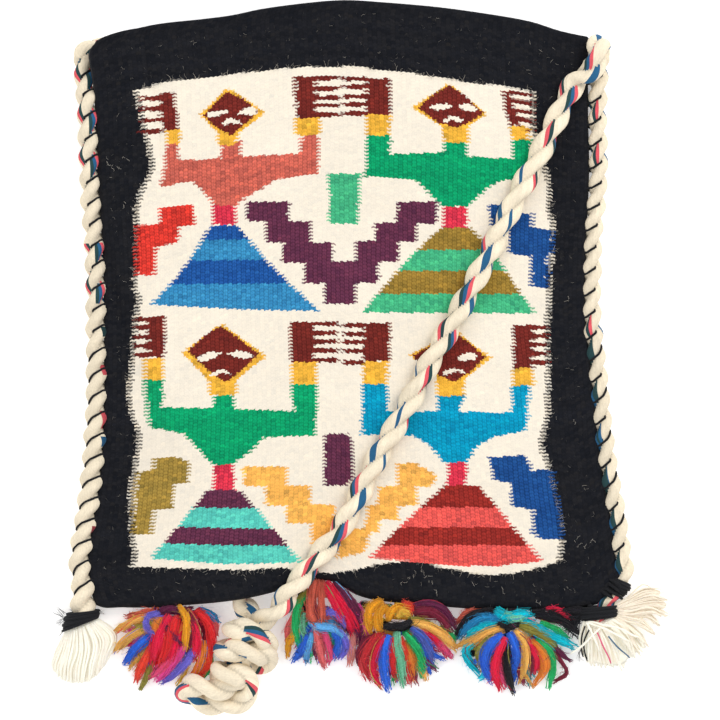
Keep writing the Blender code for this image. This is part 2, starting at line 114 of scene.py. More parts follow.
def back_run_distance(x, y):
    best = np.full(np.shape(x), 1e9)
    for (ax, ay), (bx, by) in zip(BACK_RUN, BACK_RUN[1:]):
        dx, dy = bx - ax, by - ay
        s = np.clip(((x - ax) * dx + (y - ay) * dy) / (dx * dx + dy * dy), 0.0, 1.0)
        best = np.minimum(best, np.hypot(x - ax - s * dx, y - ay - s * dy))
    return best * UNIT_MM


def cloth_heights(x, y):
    """(underside, front face) of the bag at drawing points, before its edges round off."""
    x, y = np.asarray(x, float), np.asarray(y, float)
    side = np.minimum(x - interp(LEFT, y), interp(RIGHT, y) - x) * UNIT_MM
    fold = (interp(BOTTOM, x) - y) * UNIT_MM
    d = back_run_distance(x, y)
    ridge = RIDGE * np.exp(-((d / RIDGE_HALF) ** 4))
    low = soft_max(EDGE_LOW * (1 - smoothstep(0, 26, side)), ridge)
    a = smoothstep(-2, 46, side)
    mid = FOLD_TOP + (MID_TOP - FOLD_TOP) * smoothstep(0, 60, fold)
    mid = mid + FRONT_SWELL * np.exp(-((d / FRONT_SWELL_HALF) ** 2))
    mid = mid + 0.7 * np.sin(x / 47.0 + 0.6) * np.sin(y / 61.0)
    top = EDGE_TOP * (1 - a) + mid * a
    least = low + 2 * CLOTH_T + 3.0 * smoothstep(2, 20, side)
    return low, np.maximum(top, least)


def bag_point(u, v):
    """Drawing point of the four-sided outline patch: u left to right, v fold to mouth."""
    bx, tx = 99 + (612 - 99) * u, 95 + (590 - 95) * u
    ly, ry = 603 + (45 - 603) * v, 588 + (39 - 588) * v
    bot, top = (bx, interp(BOTTOM, bx)), (tx, interp(TOP, tx))
    tuck_l = interp(LEFT_TUCK, ly)
    tuck_r = 2.6 * smoothstep(60, 100, ry) * (1 - smoothstep(570, 586, ry))
    lef, rig = (interp(LEFT, ly) - tuck_l, ly), (interp(RIGHT, ry) + tuck_r, ry)
    corners = ((99, 603), (612, 588), (95, 45), (590, 39))
    out = []
    for k in range(2):
        corner = ((1 - u) * (1 - v) * corners[0][k] + u * (1 - v) * corners[1][k]
                  + (1 - u) * v * corners[2][k] + u * v * corners[3][k])
        out.append((1 - v) * bot[k] + v * top[k] + (1 - u) * lef[k] + u * rig[k] - corner)
    low_right = smoothstep(0.93, 1.0, u) * (1 - smoothstep(0.0, 0.05, v))
    low_left = (1 - smoothstep(0.0, 0.05, u)) * (1 - smoothstep(0.0, 0.05, v))
    out[0] = out[0] + 5.0 * low_right - 3.5 * low_left
    out[1] = out[1] + 5.0 * low_right + 2.5 * low_left
    return out


def edge_round(distance, radius):
    return np.sqrt(np.clip(1 - (1 - np.minimum(distance / radius, 1.0)) ** 2, 0.0, None))


def linear(rgb):
    """Linear colour from a 0-255 display colour."""
    c = np.asarray(rgb, float) / 255.0
    return np.where(c <= 0.04045, c / 12.92, ((c + 0.055) / 1.055) ** 2.4)


# ---------------------------------------------------------------- mesh making
class Builder:
    """Collects vertices in millimetres, faces with a colour each, and a flow coordinate for each vertex."""

    def __init__(self):
        self.verts, self.quads, self.tris, self.qcol, self.tcol, self.flow = [], [], [], [], [], []
        self.count = 0

    def add(self, verts, quads, qcol, tris=None, tcol=None, flow=None):
        self.verts.append(verts)
        self.quads.append(quads + self.count)
        self.qcol.append(np.broadcast_to(qcol, (len(quads), 3)))
        if tris is not None and len(tris):
            self.tris.append(tris + self.count)
            self.tcol.append(np.broadcast_to(tcol, (len(tris), 3)))
        self.flow.append(np.zeros((len(verts), 3)) if flow is None else flow)
        self.count += len(verts)

    def build(self, name, mat, smooth=True):
        verts = np.concatenate(self.verts) * 0.001
        quads = np.concatenate(self.quads) if self.quads else np.zeros((0, 4), int)
        tris = np.concatenate(self.tris) if self.tris else np.zeros((0, 3), int)
        qcol = np.concatenate(self.qcol) if self.qcol else np.zeros((0, 3))
        tcol = np.concatenate(self.tcol) if self.tcol else np.zeros((0, 3))
        me = bpy.data.meshes.new(name)
        me.vertices.add(len(verts))
        me.vertices.foreach_set("co", verts.astype(np.float32).ravel())
        corners = np.concatenate([quads.ravel(), tris.ravel()]).astype(np.int32)
        me.loops.add(len(corners))
        me.loops.foreach_set("vertex_index", corners)
        starts = np.concatenate([np.arange(len(quads)) * 4, 4 * len(quads) + np.arange(len(tris)) * 3])
        me.polygons.add(len(starts))
        me.polygons.foreach_set("loop_start", starts.astype(np.int32))
        me.update(calc_edges=True)
        me.validate()
        colours = np.concatenate([np.repeat(qcol, 4, axis=0), np.repeat(tcol, 3, axis=0)])
        colours = np.concatenate([colours, np.ones((len(colours), 1))], axis=1)
        layer = me.color_attributes.new("Col", "FLOAT_COLOR", "CORNER")
        layer.data.foreach_set("color", colours.astype(np.float32).ravel())
        flow = me.attributes.new("flow", "FLOAT_VECTOR", "POINT")
        flow.data.foreach_set("vector", np.concatenate(self.flow).astype(np.float32).ravel())
        me.polygons.foreach_set("use_smooth", np.full(len(starts), smooth))
        me.materials.append(mat)
        obj = bpy.data.objects.new(name, me)
        bpy.context.scene.collection.objects.link(obj)
        return obj


def grid_quads(rows, cols, wrap):
    """Quads of a rows x cols vertex grid, the columns closed into a ring if wrap."""
    last = cols if wrap else cols - 1
    r, c = np.meshgrid(np.arange(rows - 1), np.arange(last), indexing="ij")
    c2 = (c + 1) % cols
    return np.stack([r * cols + c, r * cols + c2, (r + 1) * cols + c2, (r + 1) * cols + c], axis=-1).reshape(-1, 4)


def catmull(points, steps):
    """Smooth curve through the points, steps to a span."""
    p = np.asarray(points, float)
    ext = np.concatenate([p[:1], p, p[-1:]])
    t = np.linspace(0, 1, steps, endpoint=False)[:, None]
    out = []
    for i in range(len(p) - 1):
        p0, p1, p2, p3 = ext[i:i + 4]
        out.append(0.5 * (2 * p1 + (p2 - p0) * t + (2 * p0 - 5 * p1 + 4 * p2 - p3) * t * t
                          + (3 * p1 - p0 - 3 * p2 + p3) * t ** 3))
    return np.concatenate(out + [p[-1:]])


def lengths_of(p):
    return np.concatenate([[0.0], np.cumsum(np.linalg.norm(np.diff(p, axis=0), axis=1))])


def respace(p, step=None, count=None):
    """The path with evenly spaced points."""
    s = lengths_of(p)
    if count is None:
        count = max(2, int(round(s[-1] / step)) + 1)
    want = np.linspace(0, s[-1], count)
    return np.stack([np.interp(want, s, p[:, k]) for k in range(p.shape[1])], axis=1)


def tangents(p):
    t = np.gradient(p, axis=0)
    return t / np.maximum(np.linalg.norm(t, axis=1, keepdims=True), 1e-9)


def simple_frames(p):
    """(side, over) of a short path, from the upward direction."""
    t = tangents(p)
    side = np.cross(t, np.array([0.0, 0.0, 1.0]))
    weak = np.linalg.norm(side, axis=1) < 0.15
    side[weak] = np.cross(t[weak], np.array([0.31, 0.95, 0.0]))
    side /= np.linalg.norm(side, axis=1, keepdims=True)
    return side, np.cross(side, t)


def carried_frames(p, first):
    """(tangent, normal, binormal) carried along a long path without turning about it."""
    t = tangents(p)
    n = np.empty_like(p)
    v = np.asarray(first, float)
    for i in range(len(p)):
        v = v - t[i] * np.dot(v, t[i])
        v = v / np.linalg.norm(v)
        n[i] = v
    return t, n, np.cross(t, n)


def tube(b, path, radii, sides, colour, flat=1.0, spin=0.0):
    """Closed round tube; colour is one colour or one for each ring."""
    side, over = simple_frames(path)
    n = len(path)
    radii = np.broadcast_to(radii, (n,)).astype(float)
    ang = 2 * math.pi * np.arange(sides) / sides + spin
    ring = side[:, None, :] * np.cos(ang)[None, :, None] + over[:, None, :] * (np.sin(ang) * flat)[None, :, None]
    verts = (path[:, None, :] + ring * radii[:, None, None]).reshape(-1, 3)
    s = lengths_of(path)
    flow = np.stack([np.repeat(s, sides), np.tile(ang, n), np.full(n * sides, float(rng.uniform(0, 50)))], axis=1)
    quads = grid_quads(n, sides, True)
    verts = np.concatenate([verts, path[:1], path[-1:]])
    flow = np.concatenate([flow, [[0, 0, flow[0, 2]], [s[-1], 0, flow[0, 2]]]])
    k = np.arange(sides)
    k2 = (k + 1) % sides
    last = (n - 1) * sides
    tris = np.concatenate([np.stack([np.full(sides, n * sides), k2, k], axis=1),
                           np.stack([np.full(sides, n * sides + 1), last + k, last + k2], axis=1)])
    # side x over points along the path, so this winding faces outwards
    colour = np.asarray(colour, float)
    if colour.ndim == 2:
        qc = np.repeat((colour[:-1] + colour[1:]) / 2, sides, axis=0)
        tc = np.concatenate([np.repeat(colour[:1], sides, axis=0), np.repeat(colour[-1:], sides, axis=0)])
    else:
        qc, tc = colour, colour
    b.add(verts, quads[:, ::-1], qc, tris[:, ::-1], tc, flow)


def fibre(b, start, heading, length, radius, colour, lift=0.6, curl=1.0, count=6):
    """A thin curved hair lying near a surface."""
    turn = rng.normal(0, 0.55 * curl, count)
    p = [np.asarray(start, float)]
    angle = heading
    for k in range(count - 1):
        angle += turn[k]
        p.append(p[-1] + np.array([math.cos(angle), math.sin(angle), 0.0]) * (length / (count - 1)))
    p = np.array(p)
    bow = np.sin(np.linspace(0, math.pi, count))
    p[:, 2] += bow * lift * rng.uniform(0.4, 1.3)
    tube(b, p, radius, 3, colour)


# ---------------------------------------------------------------- materials
def new_material(name, rough, sheen=0.0, specular=0.2):
    mat = bpy.data.materials.new(name)
    mat.use_nodes = True
    shader = mat.node_tree.nodes["Principled BSDF"]
    shader.inputs["Roughness"].default_value = rough
    shader.inputs["Specular IOR Level"].default_value = specular
    shader.inputs["Sheen Weight"].default_value = sheen
    shader.inputs["Sheen Roughness"].default_value = 0.5
    return mat, mat.node_tree.nodes, mat.node_tree.links, shader


def node(nodes, kind, **values):
    made = nodes.new(kind)
    for key, value in values.items():
        setattr(made, key, value)
    return made


def noise(nodes, links, vector, scale, detail=2.0, rough=0.55):
    made = node(nodes, "ShaderNodeTexNoise")
    made.inputs["Scale"].default_value = scale
    made.inputs["Detail"].default_value = detail
    made.inputs["Roughness"].default_value = rough
    links.new(vector, made.inputs["Vector"])
    return made.outputs["Fac"]


def remap(nodes, links, value, lo, hi, out_lo, out_hi):
    made = node(nodes, "ShaderNodeMapRange")
    links.new(value, made.inputs["Value"])
    for key, number in (("From Min", lo), ("From Max", hi), ("To Min", out_lo), ("To Max", out_hi)):
        made.inputs[key].default_value = number
    return made.outputs["Result"]


def math_node(nodes, links, operation, a, b):
    made = node(nodes, "ShaderNodeMath", operation=operation)
    for socket, value in zip(made.inputs, (a, b)):
        if isinstance(value, (int, float)):
            socket.default_value = value
        else:
            links.new(value, socket)
    return made.outputs[0]


def scaled_colour(nodes, links, colour, factor):
    """The colour times a number."""
    made = node(nodes, "ShaderNodeVectorMath", operation="SCALE")
    links.new(colour, made.inputs[0])
    links.new(factor, made.inputs["Scale"])
    capped = node(nodes, "ShaderNodeVectorMath", operation="MINIMUM")
    links.new(made.outputs["Vector"], capped.inputs[0])
    capped.inputs[1].default_value = (0.96, 0.96, 0.96)
    return capped.outputs["Vector"]


def bump(nodes, links, height, shader, strength, distance):
    made = node(nodes, "ShaderNodeBump")
    made.inputs["Strength"].default_value = strength
    made.inputs["Distance"].default_value = distance
    links.new(height, made.inputs["Height"])
    links.new(made.outputs["Normal"], shader.inputs["Normal"])


def stretched(nodes, links, vector, scale):
    made = node(nodes, "ShaderNodeMapping")
    links.new(vector, made.inputs["Vector"])
    made.inputs["Scale"].default_value = scale
    return made.outputs["Vector"]


def woven_wool():
    """Weft-faced wool: rounded beads in brick order, each thread's fibres running across, soft fuzz, and painted shade
    in the gaps between the beads.
    """
    mat, nodes, links, shader = new_material("woven_wool", 0.95, 0.03, 0.1)
    colour = node(nodes, "ShaderNodeVertexColor", layer_name="Col").outputs["Color"]
    thread = node(nodes, "ShaderNodeAttribute", attribute_name="flow").outputs["Vector"]
    where = node(nodes, "ShaderNodeTexCoord").outputs["Object"]
    split = node(nodes, "ShaderNodeSeparateXYZ")
    links.new(thread, split.inputs["Vector"])
    column, along_warp = split.outputs["X"], split.outputs["Y"]
    whole_column = math_node(nodes, links, "FLOOR", column, 0.0)
    across = math_node(nodes, links, "SUBTRACT", math_node(nodes, links, "FRACT", column, 0.0), 0.5)
    brick = math_node(nodes, links, "ADD", along_warp, math_node(nodes, links, "MULTIPLY", whole_column, 0.5))
    up = math_node(nodes, links, "SUBTRACT",
                   math_node(nodes, links, "FRACT", math_node(nodes, links, "ADD", brick, 0.5), 0.0), 0.5)
    side_gap = remap(nodes, links, math_node(nodes, links, "ABSOLUTE", across, 0.0), 0.22, 0.5, 0.0, 1.0)
    end_gap = remap(nodes, links, math_node(nodes, links, "ABSOLUTE", up, 0.0), 0.24, 0.5, 0.0, 1.0)
    mid_gap = remap(nodes, links, math_node(nodes, links, "ABSOLUTE", across, 0.0), 0.0, 0.15, 1.0, 0.0)
    gap = math_node(nodes, links, "ADD", math_node(nodes, links, "MULTIPLY", side_gap, 0.40),
                    math_node(nodes, links, "MULTIPLY", end_gap, 0.24))
    gap = math_node(nodes, links, "ADD", gap, math_node(nodes, links, "MULTIPLY", mid_gap, 0.20))
    bw = node(nodes, "ShaderNodeRGBToBW")
    links.new(colour, bw.inputs["Color"])
    depth = math_node(nodes, links, "MULTIPLY", remap(nodes, links, bw.outputs["Val"], 0.15, 0.75, 1.0, 0.10),
                      remap(nodes, links, bw.outputs["Val"], 0.012, 0.05, 0.45, 1.0))
    # painted shade: the colour darkens in the gaps at the sides and ends of each bead and along the middle of each
    # column, most on mid-dark colours, little on cream and black
    shade = math_node(nodes, links, "SUBTRACT", 1.0, math_node(nodes, links, "MULTIPLY", gap, depth))
    wide = stretched(nodes, links, where, (0.45, 1.0, 1.0))
    fibres = noise(nodes, links, wide, 2600.0, 3.0, 0.6)
    slubs = noise(nodes, links, wide, 900.0, 2.0)
    cloud = noise(nodes, links, where, 24.0, 3.0)
    fibre_depth = remap(nodes, links, bw.outputs["Val"], 0.4, 0.8, 0.48, 0.14)
    a = math_node(nodes, links, "ADD", 1.0, math_node(nodes, links, "MULTIPLY", fibre_depth,
                                                      remap(nodes, links, fibres, 0.25, 0.75, -0.5, 0.5)))
    slub_depth = remap(nodes, links, bw.outputs["Val"], 0.4, 0.8, 0.30, 0.06)
    c = math_node(nodes, links, "ADD", 1.0, math_node(nodes, links, "MULTIPLY", slub_depth,
                                                      remap(nodes, links, slubs, 0.3, 0.7, -0.5, 0.5)))
    d = remap(nodes, links, cloud, 0.3, 0.7, 0.97, 1.03)
    factor = math_node(nodes, links, "MULTIPLY", math_node(nodes, links, "MULTIPLY", a, c), d)
    factor = math_node(nodes, links, "MULTIPLY", factor, shade)
    links.new(scaled_colour(nodes, links, colour, factor), shader.inputs["Base Color"])
    bead = math_node(nodes, links, "SUBTRACT", 1.0, gap)
    raised = math_node(nodes, links, "MULTIPLY", bead, remap(nodes, links, depth, 0.1, 1.0, 0.35, 1.3))
    height = math_node(nodes, links, "ADD", raised,
                       math_node(nodes, links, "MULTIPLY", fibres, remap(nodes, links, bw.outputs["Val"], 0.4, 0.8, 0.8, 0.3)))
    bump(nodes, links, height, shader, 0.5, 0.0004)
    return mat


def twisted_cotton(name, twist=True, rough=0.85, glow=0.0):
    """Cotton yarn: fine fibres slanting round each yarn; with a glow value it also carries painted light, its colour
    glowing from the surface.
    """
    mat, nodes, links, shader = new_material(name, rough, 0.05, 0.2)
    colour = node(nodes, "ShaderNodeVertexColor", layer_name="Col").outputs["Color"]
    flow = node(nodes, "ShaderNodeAttribute", attribute_name="flow").outputs["Vector"]
    where = node(nodes, "ShaderNodeTexCoord").outputs["Object"]
    split = node(nodes, "ShaderNodeSeparateXYZ")
    links.new(flow, split.inputs["Vector"])
    slant = math_node(nodes, links, "ADD", math_node(nodes, links, "MULTIPLY", split.outputs["X"], 3.6),
                      math_node(nodes, links, "MULTIPLY", split.outputs["Y"], 9.0))
    wave = math_node(nodes, links, "SINE", slant, 0.0)
    long_fibres = noise(nodes, links, stretched(nodes, links, flow, (0.25, 5.0, 1.0)), 1.6, 3.0, 0.6)
    grain = noise(nodes, links, where, 900.0, 3.0, 0.6)
    spots = noise(nodes, links, where, 90.0, 2.0)
    a = remap(nodes, links, long_fibres, 0.3, 0.7, 0.88, 1.08)
    c = remap(nodes, links, grain, 0.3, 0.7, 0.93, 1.05)
    d = remap(nodes, links, spots, 0.3, 0.7, 0.95, 1.03)
    factor = math_node(nodes, links, "MULTIPLY", math_node(nodes, links, "MULTIPLY", a, c), d)
    links.new(scaled_colour(nodes, links, colour, factor), shader.inputs["Base Color"])
    if glow:  # painted light: the strands glow in their own colour, standing in for light that passes through thin bleached cotton
        links.new(colour, shader.inputs["Emission Color"])
        shader.inputs["Emission Strength"].default_value = glow
    height = math_node(nodes, links, "ADD", long_fibres, math_node(nodes, links, "MULTIPLY", grain, 0.6))
    if twist:
        height = math_node(nodes, links, "ADD", height, math_node(nodes, links, "MULTIPLY", wave, 0.22))
    bump(nodes, links, height, shader, 0.45, 0.00035)
    return mat


def fluffy_wool(name, glow=0.0):
    """Loosely spun wool: streaks and loose fibres along each strand; with a glow value it also carries painted light,
    its streaked colour glowing from the surface.
    """
    mat, nodes, links, shader = new_material(name, 0.95, 0.12, 0.1)
    colour = node(nodes, "ShaderNodeVertexColor", layer_name="Col").outputs["Color"]
    flow = node(nodes, "ShaderNodeAttribute", attribute_name="flow").outputs["Vector"]
    where = node(nodes, "ShaderNodeTexCoord").outputs["Object"]
    streaks = noise(nodes, links, stretched(nodes, links, flow, (0.32, 1.5, 1.0)), 1.9, 4.0, 0.7)
    grain = noise(nodes, links, where, 1500.0, 3.0, 0.65)
    a = remap(nodes, links, streaks, 0.28, 0.72, 0.78, 1.16)
    c = remap(nodes, links, grain, 0.34, 0.66, 0.72, 1.27)
    factor = math_node(nodes, links, "MULTIPLY", a, c)
    links.new(scaled_colour(nodes, links, colour, factor), shader.inputs["Base Color"])
    if glow:  # painted light: the wool glows in its own streaked colour, standing in for light that passes through loose dyed wool
        links.new(scaled_colour(nodes, links, colour, factor), shader.inputs["Emission Color"])
        shader.inputs["Emission Strength"].default_value = glow
    bump(nodes, links, math_node(nodes, links, "ADD", streaks, grain), shader, 0.7, 0.0006)
    return mat


WEAVE = woven_wool()
COTTON = twisted_cotton("rope_cotton")
# painted light: the tassel strands glow in their own colour
STRANDS = twisted_cotton("tassel_cotton", glow=0.11)
THREAD = twisted_cotton("black_thread", rough=0.8)
# painted light: the pompoms and their yarn ties glow in their own colour
POM_WOOL = fluffy_wool("pompom_wool", 0.13)
LINT = fluffy_wool("loose_fibres")

BLACK = linear((28, 29, 34))
CREAM = linear((240, 230, 213))
ROPE_CREAM = linear((244, 230, 204))
MAROON = linear((122, 44, 38))
AMBER = linear((242, 182, 64))
SALMON = linear((214, 106, 90))
GREEN = linear((10, 164, 108))
MINT = linear((72, 186, 134))
DARK_BLUE = linear((34, 90, 166))
LIGHT_BLUE = linear((58, 144, 196))
PURPLE = linear((106, 52, 78))
PINK = linear((230, 58, 82))
OLIVE = linear((162, 130, 56))
OLIVE_STEP = linear((172, 142, 66))
SEA_BLUE = linear((6, 156, 196))
TURQUOISE = linear((92, 206, 190))
RED_STEP = linear((228, 62, 52))
ORANGE = linear((252, 184, 90))
CORAL = linear((242, 94, 88))
DARK_RED = linear((158, 48, 42))
ROYAL = linear((32, 82, 150))

# ---------------------------------------------------------------- the woven picture, in drawing units
FIELD = ([(137, 91), (148, 140), (154, 165), (152, 175), (143, 190), (138, 210), (138, 240), (136, 290), (140, 298),
          (134, 336), (131, 378), (129, 394), (133, 419), (140, 432), (138, 451), (134.6, 470), (131, 490), (132, 528),
          (136.5, 558), (130.7, 567)]
         + [(155, 567), (201, 568), (247, 569), (281, 567), (329, 573), (341, 572), (359, 569), (378, 564), (398, 562),
            (410, 561), (429, 564), (449, 569), (470, 572.5), (495, 575), (519, 572), (542, 567), (561, 560)]
         + [(559.5, 558), (561.6, 543), (559.5, 512), (552, 490), (547, 465), (540.5, 444), (547, 415), (548, 381),
            (547, 324), (549, 305), (549, 274), (553, 252), (553, 227), (548, 210), (549, 190), (547, 177), (533, 126),
            (533, 92.6)]
         + [(498, 86), (477, 84), (456, 81), (435, 77.5), (414, 73.7), (372, 70.5), (360, 67.3), (318, 67),
            (280, 69.3), (251, 72.7), (223, 76.5), (194, 79.4), (175, 81), (156, 86)])


def box(x0, y0, x1, y1):
    return [(x0, y0), (x1, y0), (x1, y1), (x0, y1)]


def bar(x0, x1, y0, y1, t=4.5):
    """A thin woven line from (x0, y0) to (x1, y1)."""
    return [(x0, y0 - t / 2), (x1, y1 - t / 2), (x1, y1 + t / 2), (x0, y0 + t / 2)]


def fingers(x0, x1, ys, slant=0.0):
    return [(MAROON, bar(x0, x1, y + slant, y)) for y in ys]


SHAPES = [(CREAM, FIELD)]
# top left figure
SHAPES += [(MAROON, [(163, 94), (174, 92), (177, 110), (180, 133), (165, 133), (162, 115)])]
SHAPES += fingers(142, 163, (98.5, 109, 120.5, 132), 1.5)
SHAPES += [(AMBER, [(167, 131), (182, 130), (180, 146), (168, 146)]),
           (SALMON, [(167, 145), (178.6, 143), (178.6, 161.7), (221, 159), (222.6, 141.5), (242, 141.5), (240, 157),
                     (299, 154), (302, 136), (319, 136), (318, 175), (278, 179), (263, 188), (247.5, 197), (236, 206),
                     (215, 206), (205, 193), (194, 183), (182, 183), (161, 189), (166, 163)]),
           (AMBER, [(200.6, 115), (228.4, 88), (265.7, 113), (239, 134), (236, 146), (219, 146), (217, 133)]),
           (MAROON, [(203.5, 116), (219, 100), (228, 92), (244, 100), (260, 112), (248, 122), (232, 136), (216, 128)]),
           (CREAM, [(207, 116), (210, 112.5), (221, 110.5), (229, 110), (228, 113.5), (220, 116), (212, 118.5),
                    (208, 118.5)]),
           (CREAM, [(238, 114), (243, 110), (250, 107), (256, 108.5), (258, 113.5), (252, 115.5), (244, 115), (239, 116)]),
           (CREAM, [(220, 125.2), (224, 122), (228, 119), (234, 119), (241, 122.5), (241, 125), (233, 124), (226, 125.5)]),
           (MAROON, [(294, 77), (316, 77), (316, 119), (297, 119.5)])]
SHAPES += fingers(316, 340, (78.5, 89, 98.5, 106, 115))
SHAPES += [(AMBER, [(295, 119), (320, 118), (320, 135.5), (295, 136)]),
           (PINK, [(213, 206), (236, 206), (236, 225), (213, 225)]),
           (RED_STEP, [(161, 208), (194, 205), (195, 225), (180, 227), (179, 243), (158, 247), (156, 275), (137, 276),
                       (138, 227), (161, 224)])]
# top right figure
SHAPES += [(MAROON, box(366, 79, 390, 115))]
SHAPES += fingers(343, 367, (79.5, 87.5, 97, 105, 114))
SHAPES += [(AMBER, box(366, 115, 390, 136)),
           (GREEN, [(367, 136), (390, 136), (390, 154.7), (443.6, 152.6), (444.7, 141), (466.8, 141), (466.8, 156.8),
                    (512, 159), (512, 140), (532, 140), (532, 181), (515, 179), (498, 182), (484, 191), (467, 207),
                    (441.5, 206), (425, 189), (414, 180), (393, 178), (365, 177)]),
           (AMBER, [(412, 108), (449, 83), (487, 115), (469, 126), (469, 143), (443, 143), (442, 127)]),
           (MAROON, [(418, 108.5), (434, 94), (449, 86), (464, 95), (482.6, 114), (468, 124), (456, 128), (438, 123)]),
           (CREAM, [(428, 108), (434, 105), (446, 104), (452, 106.5), (447, 109.5), (436, 110.5)]),
           (CREAM, [(459, 106), (465, 103.5), (473, 106), (478, 111), (470, 112.5), (462, 110)]),
           (CREAM, [(443, 121), (449, 117), (456, 116.5), (463, 120.5), (461, 123), (452, 120.5), (445, 123)]),
           (MAROON, [(502, 92), (508, 90), (514, 108), (521, 124), (510, 127), (505, 110)]),
           (MAROON, bar(508, 531, 92, 96)), (MAROON, bar(511, 532, 101, 104.5)), (MAROON, bar(514, 532, 110, 113)),
           (MAROON, bar(516, 532, 119, 122)), (MAROON, bar(518, 533, 127, 131)),
           (AMBER, [(510, 127), (528, 126), (528, 140), (511, 140)]),
           (PINK, box(443.6, 207, 466.8, 228)),
           (ROYAL, [(489, 205), (517, 205), (519, 213), (532, 214), (533, 228), (552, 230), (553, 252), (548, 256),
                    (548, 288), (530, 287), (530, 256), (509, 254), (508, 228), (491, 226)])]
# middle of the upper half
SHAPES += [(MINT, [(328, 174), (361, 174), (359, 200), (358, 224), (329, 224), (330, 200)])]
SHAPES += [(PURPLE, box(247, 202, 289, 221.5)), (PURPLE, box(266, 221.5, 311, 242.5)), (PURPLE, box(283, 242.5, 332, 263)),
           (PURPLE, box(305, 262.5, 355, 283.5)), (PURPLE, box(325, 283, 356, 304)), (PURPLE, box(397, 202, 436, 224)),
           (PURPLE, box(375, 223, 416, 242)), (PURPLE, box(356, 241, 399, 262)), (PURPLE, box(330, 261.5, 379, 283))]
# bottom left figure
SHAPES += [(MAROON, [(148, 318), (167, 316), (165, 357), (149, 357)])]
SHAPES += fingers(135, 149, (319.5, 327.5, 337, 346, 355))
SHAPES += [(AMBER, box(145, 358, 164, 380.5)),
           (GREEN, [(145, 380), (164, 380), (163, 407), (213, 408), (216, 394), (233, 394), (236, 409), (295, 411),
                    (290.5, 384), (317, 384), (316, 435), (265, 437), (251, 451), (234, 464), (213, 464), (194, 443),
                    (184, 433), (150, 427), (147, 405)]),
           (AMBER, [(183, 353), (221.7, 323.5), (266.6, 356), (237, 380), (236, 395), (211, 395), (209, 380)]),
           (MAROON, [(189, 351), (205, 336), (221.7, 326), (240, 339), (259, 354), (243, 370), (225.5, 382.5), (207, 369)]),
           (CREAM, [(197, 359), (203, 354), (214, 352), (222, 353), (217, 357), (208, 360.5), (199, 361)]),
           (CREAM, [(227, 353), (238, 350.5), (248, 352), (255, 357), (246, 359), (235, 357)]),
           (CREAM, [(210, 375.5), (216, 371), (222, 369), (228, 370.5), (232, 374.5), (222, 373), (214, 376)]),
           (MAROON, [(290, 322), (314, 322), (314.5, 362), (292, 362)])]
SHAPES += fingers(314, 338, (324, 333, 341.5, 350.5, 360))
SHAPES += [(AMBER, box(292, 362, 317, 384.5)),
           (PINK, [(215, 464), (234, 464), (235, 489), (214, 489)]),
           (OLIVE_STEP, [(154, 459), (176, 456), (190, 462), (188, 482), (175, 484), (174, 508), (154, 510), (153, 533),
                         (133, 534), (135, 487), (137, 472), (154, 470)])]
# middle of the lower half
SHAPES += [(PURPLE, [(324, 434), (347, 433), (352, 440), (353, 478), (347, 485), (324, 485)])]
SHAPES += [(ORANGE, box(244, 466, 287, 485.5)), (ORANGE, box(266, 485, 311, 505)), (ORANGE, box(287, 504, 335, 523)),
           (ORANGE, box(312, 522, 349, 543)), (ORANGE, [(397, 463), (415, 463), (437, 475), (431, 486), (397, 488)]),
           (ORANGE, box(378, 486, 417, 505.5)), (ORANGE, box(368, 505, 398, 519.5)), (ORANGE, box(365, 519, 379, 532)),
           (ORANGE, [(352, 528), (372, 528), (364, 552), (336, 559), (336, 547), (346, 540)])]
# bottom right figure
SHAPES += [(MAROON, box(364, 323, 390, 361))]
SHAPES += fingers(343, 365, (325.5, 334, 342, 351, 362.5))
SHAPES += [(AMBER, box(363, 361.5, 387.5, 384.5)),
           (SEA_BLUE, [(362, 384), (387, 384), (387, 411), (438, 411.5), (438, 395), (465, 395), (458, 411.5),
                       (512, 412.6), (511, 385), (529, 385), (525.7, 430.5), (492, 437), (477, 446), (466, 463),
                       (445, 463), (429, 445), (412, 435), (362, 434.7)]),
           (AMBER, [(409, 355), (456, 331), (491, 358), (465, 378), (464, 396), (437, 396), (436, 377)]),
           (MAROON, [(412, 356), (436, 343), (458, 335), (472, 345), (485, 357), (470, 372), (454, 382), (430, 372)]),
           (CREAM, [(420, 359), (430, 355), (444, 354), (440, 359), (428, 361)]),
           (CREAM, [(455, 359), (461, 355), (470, 352.5), (478, 355), (474, 360), (464, 360.5)]),
           (CREAM, [(440, 373.5), (446, 370), (455, 368), (462, 369.5), (466, 373), (455, 371.5), (446, 375)]),
           (MAROON, box(513, 325, 532, 368.5))]
SHAPES += fingers(531, 547, (327.5, 336, 344.5, 353.5, 362.5))
SHAPES += [(AMBER, box(512, 368, 533, 385.5)),
           (PINK, [(448, 462), (466, 462), (466, 488), (447, 488)]),
           (ROYAL, [(489, 457), (524, 455), (532, 470), (553, 470), (554, 490), (559, 508), (562, 534), (560, 539),
                    (541, 539), (532, 533), (532, 509), (512, 506), (511, 483), (493, 480)])]
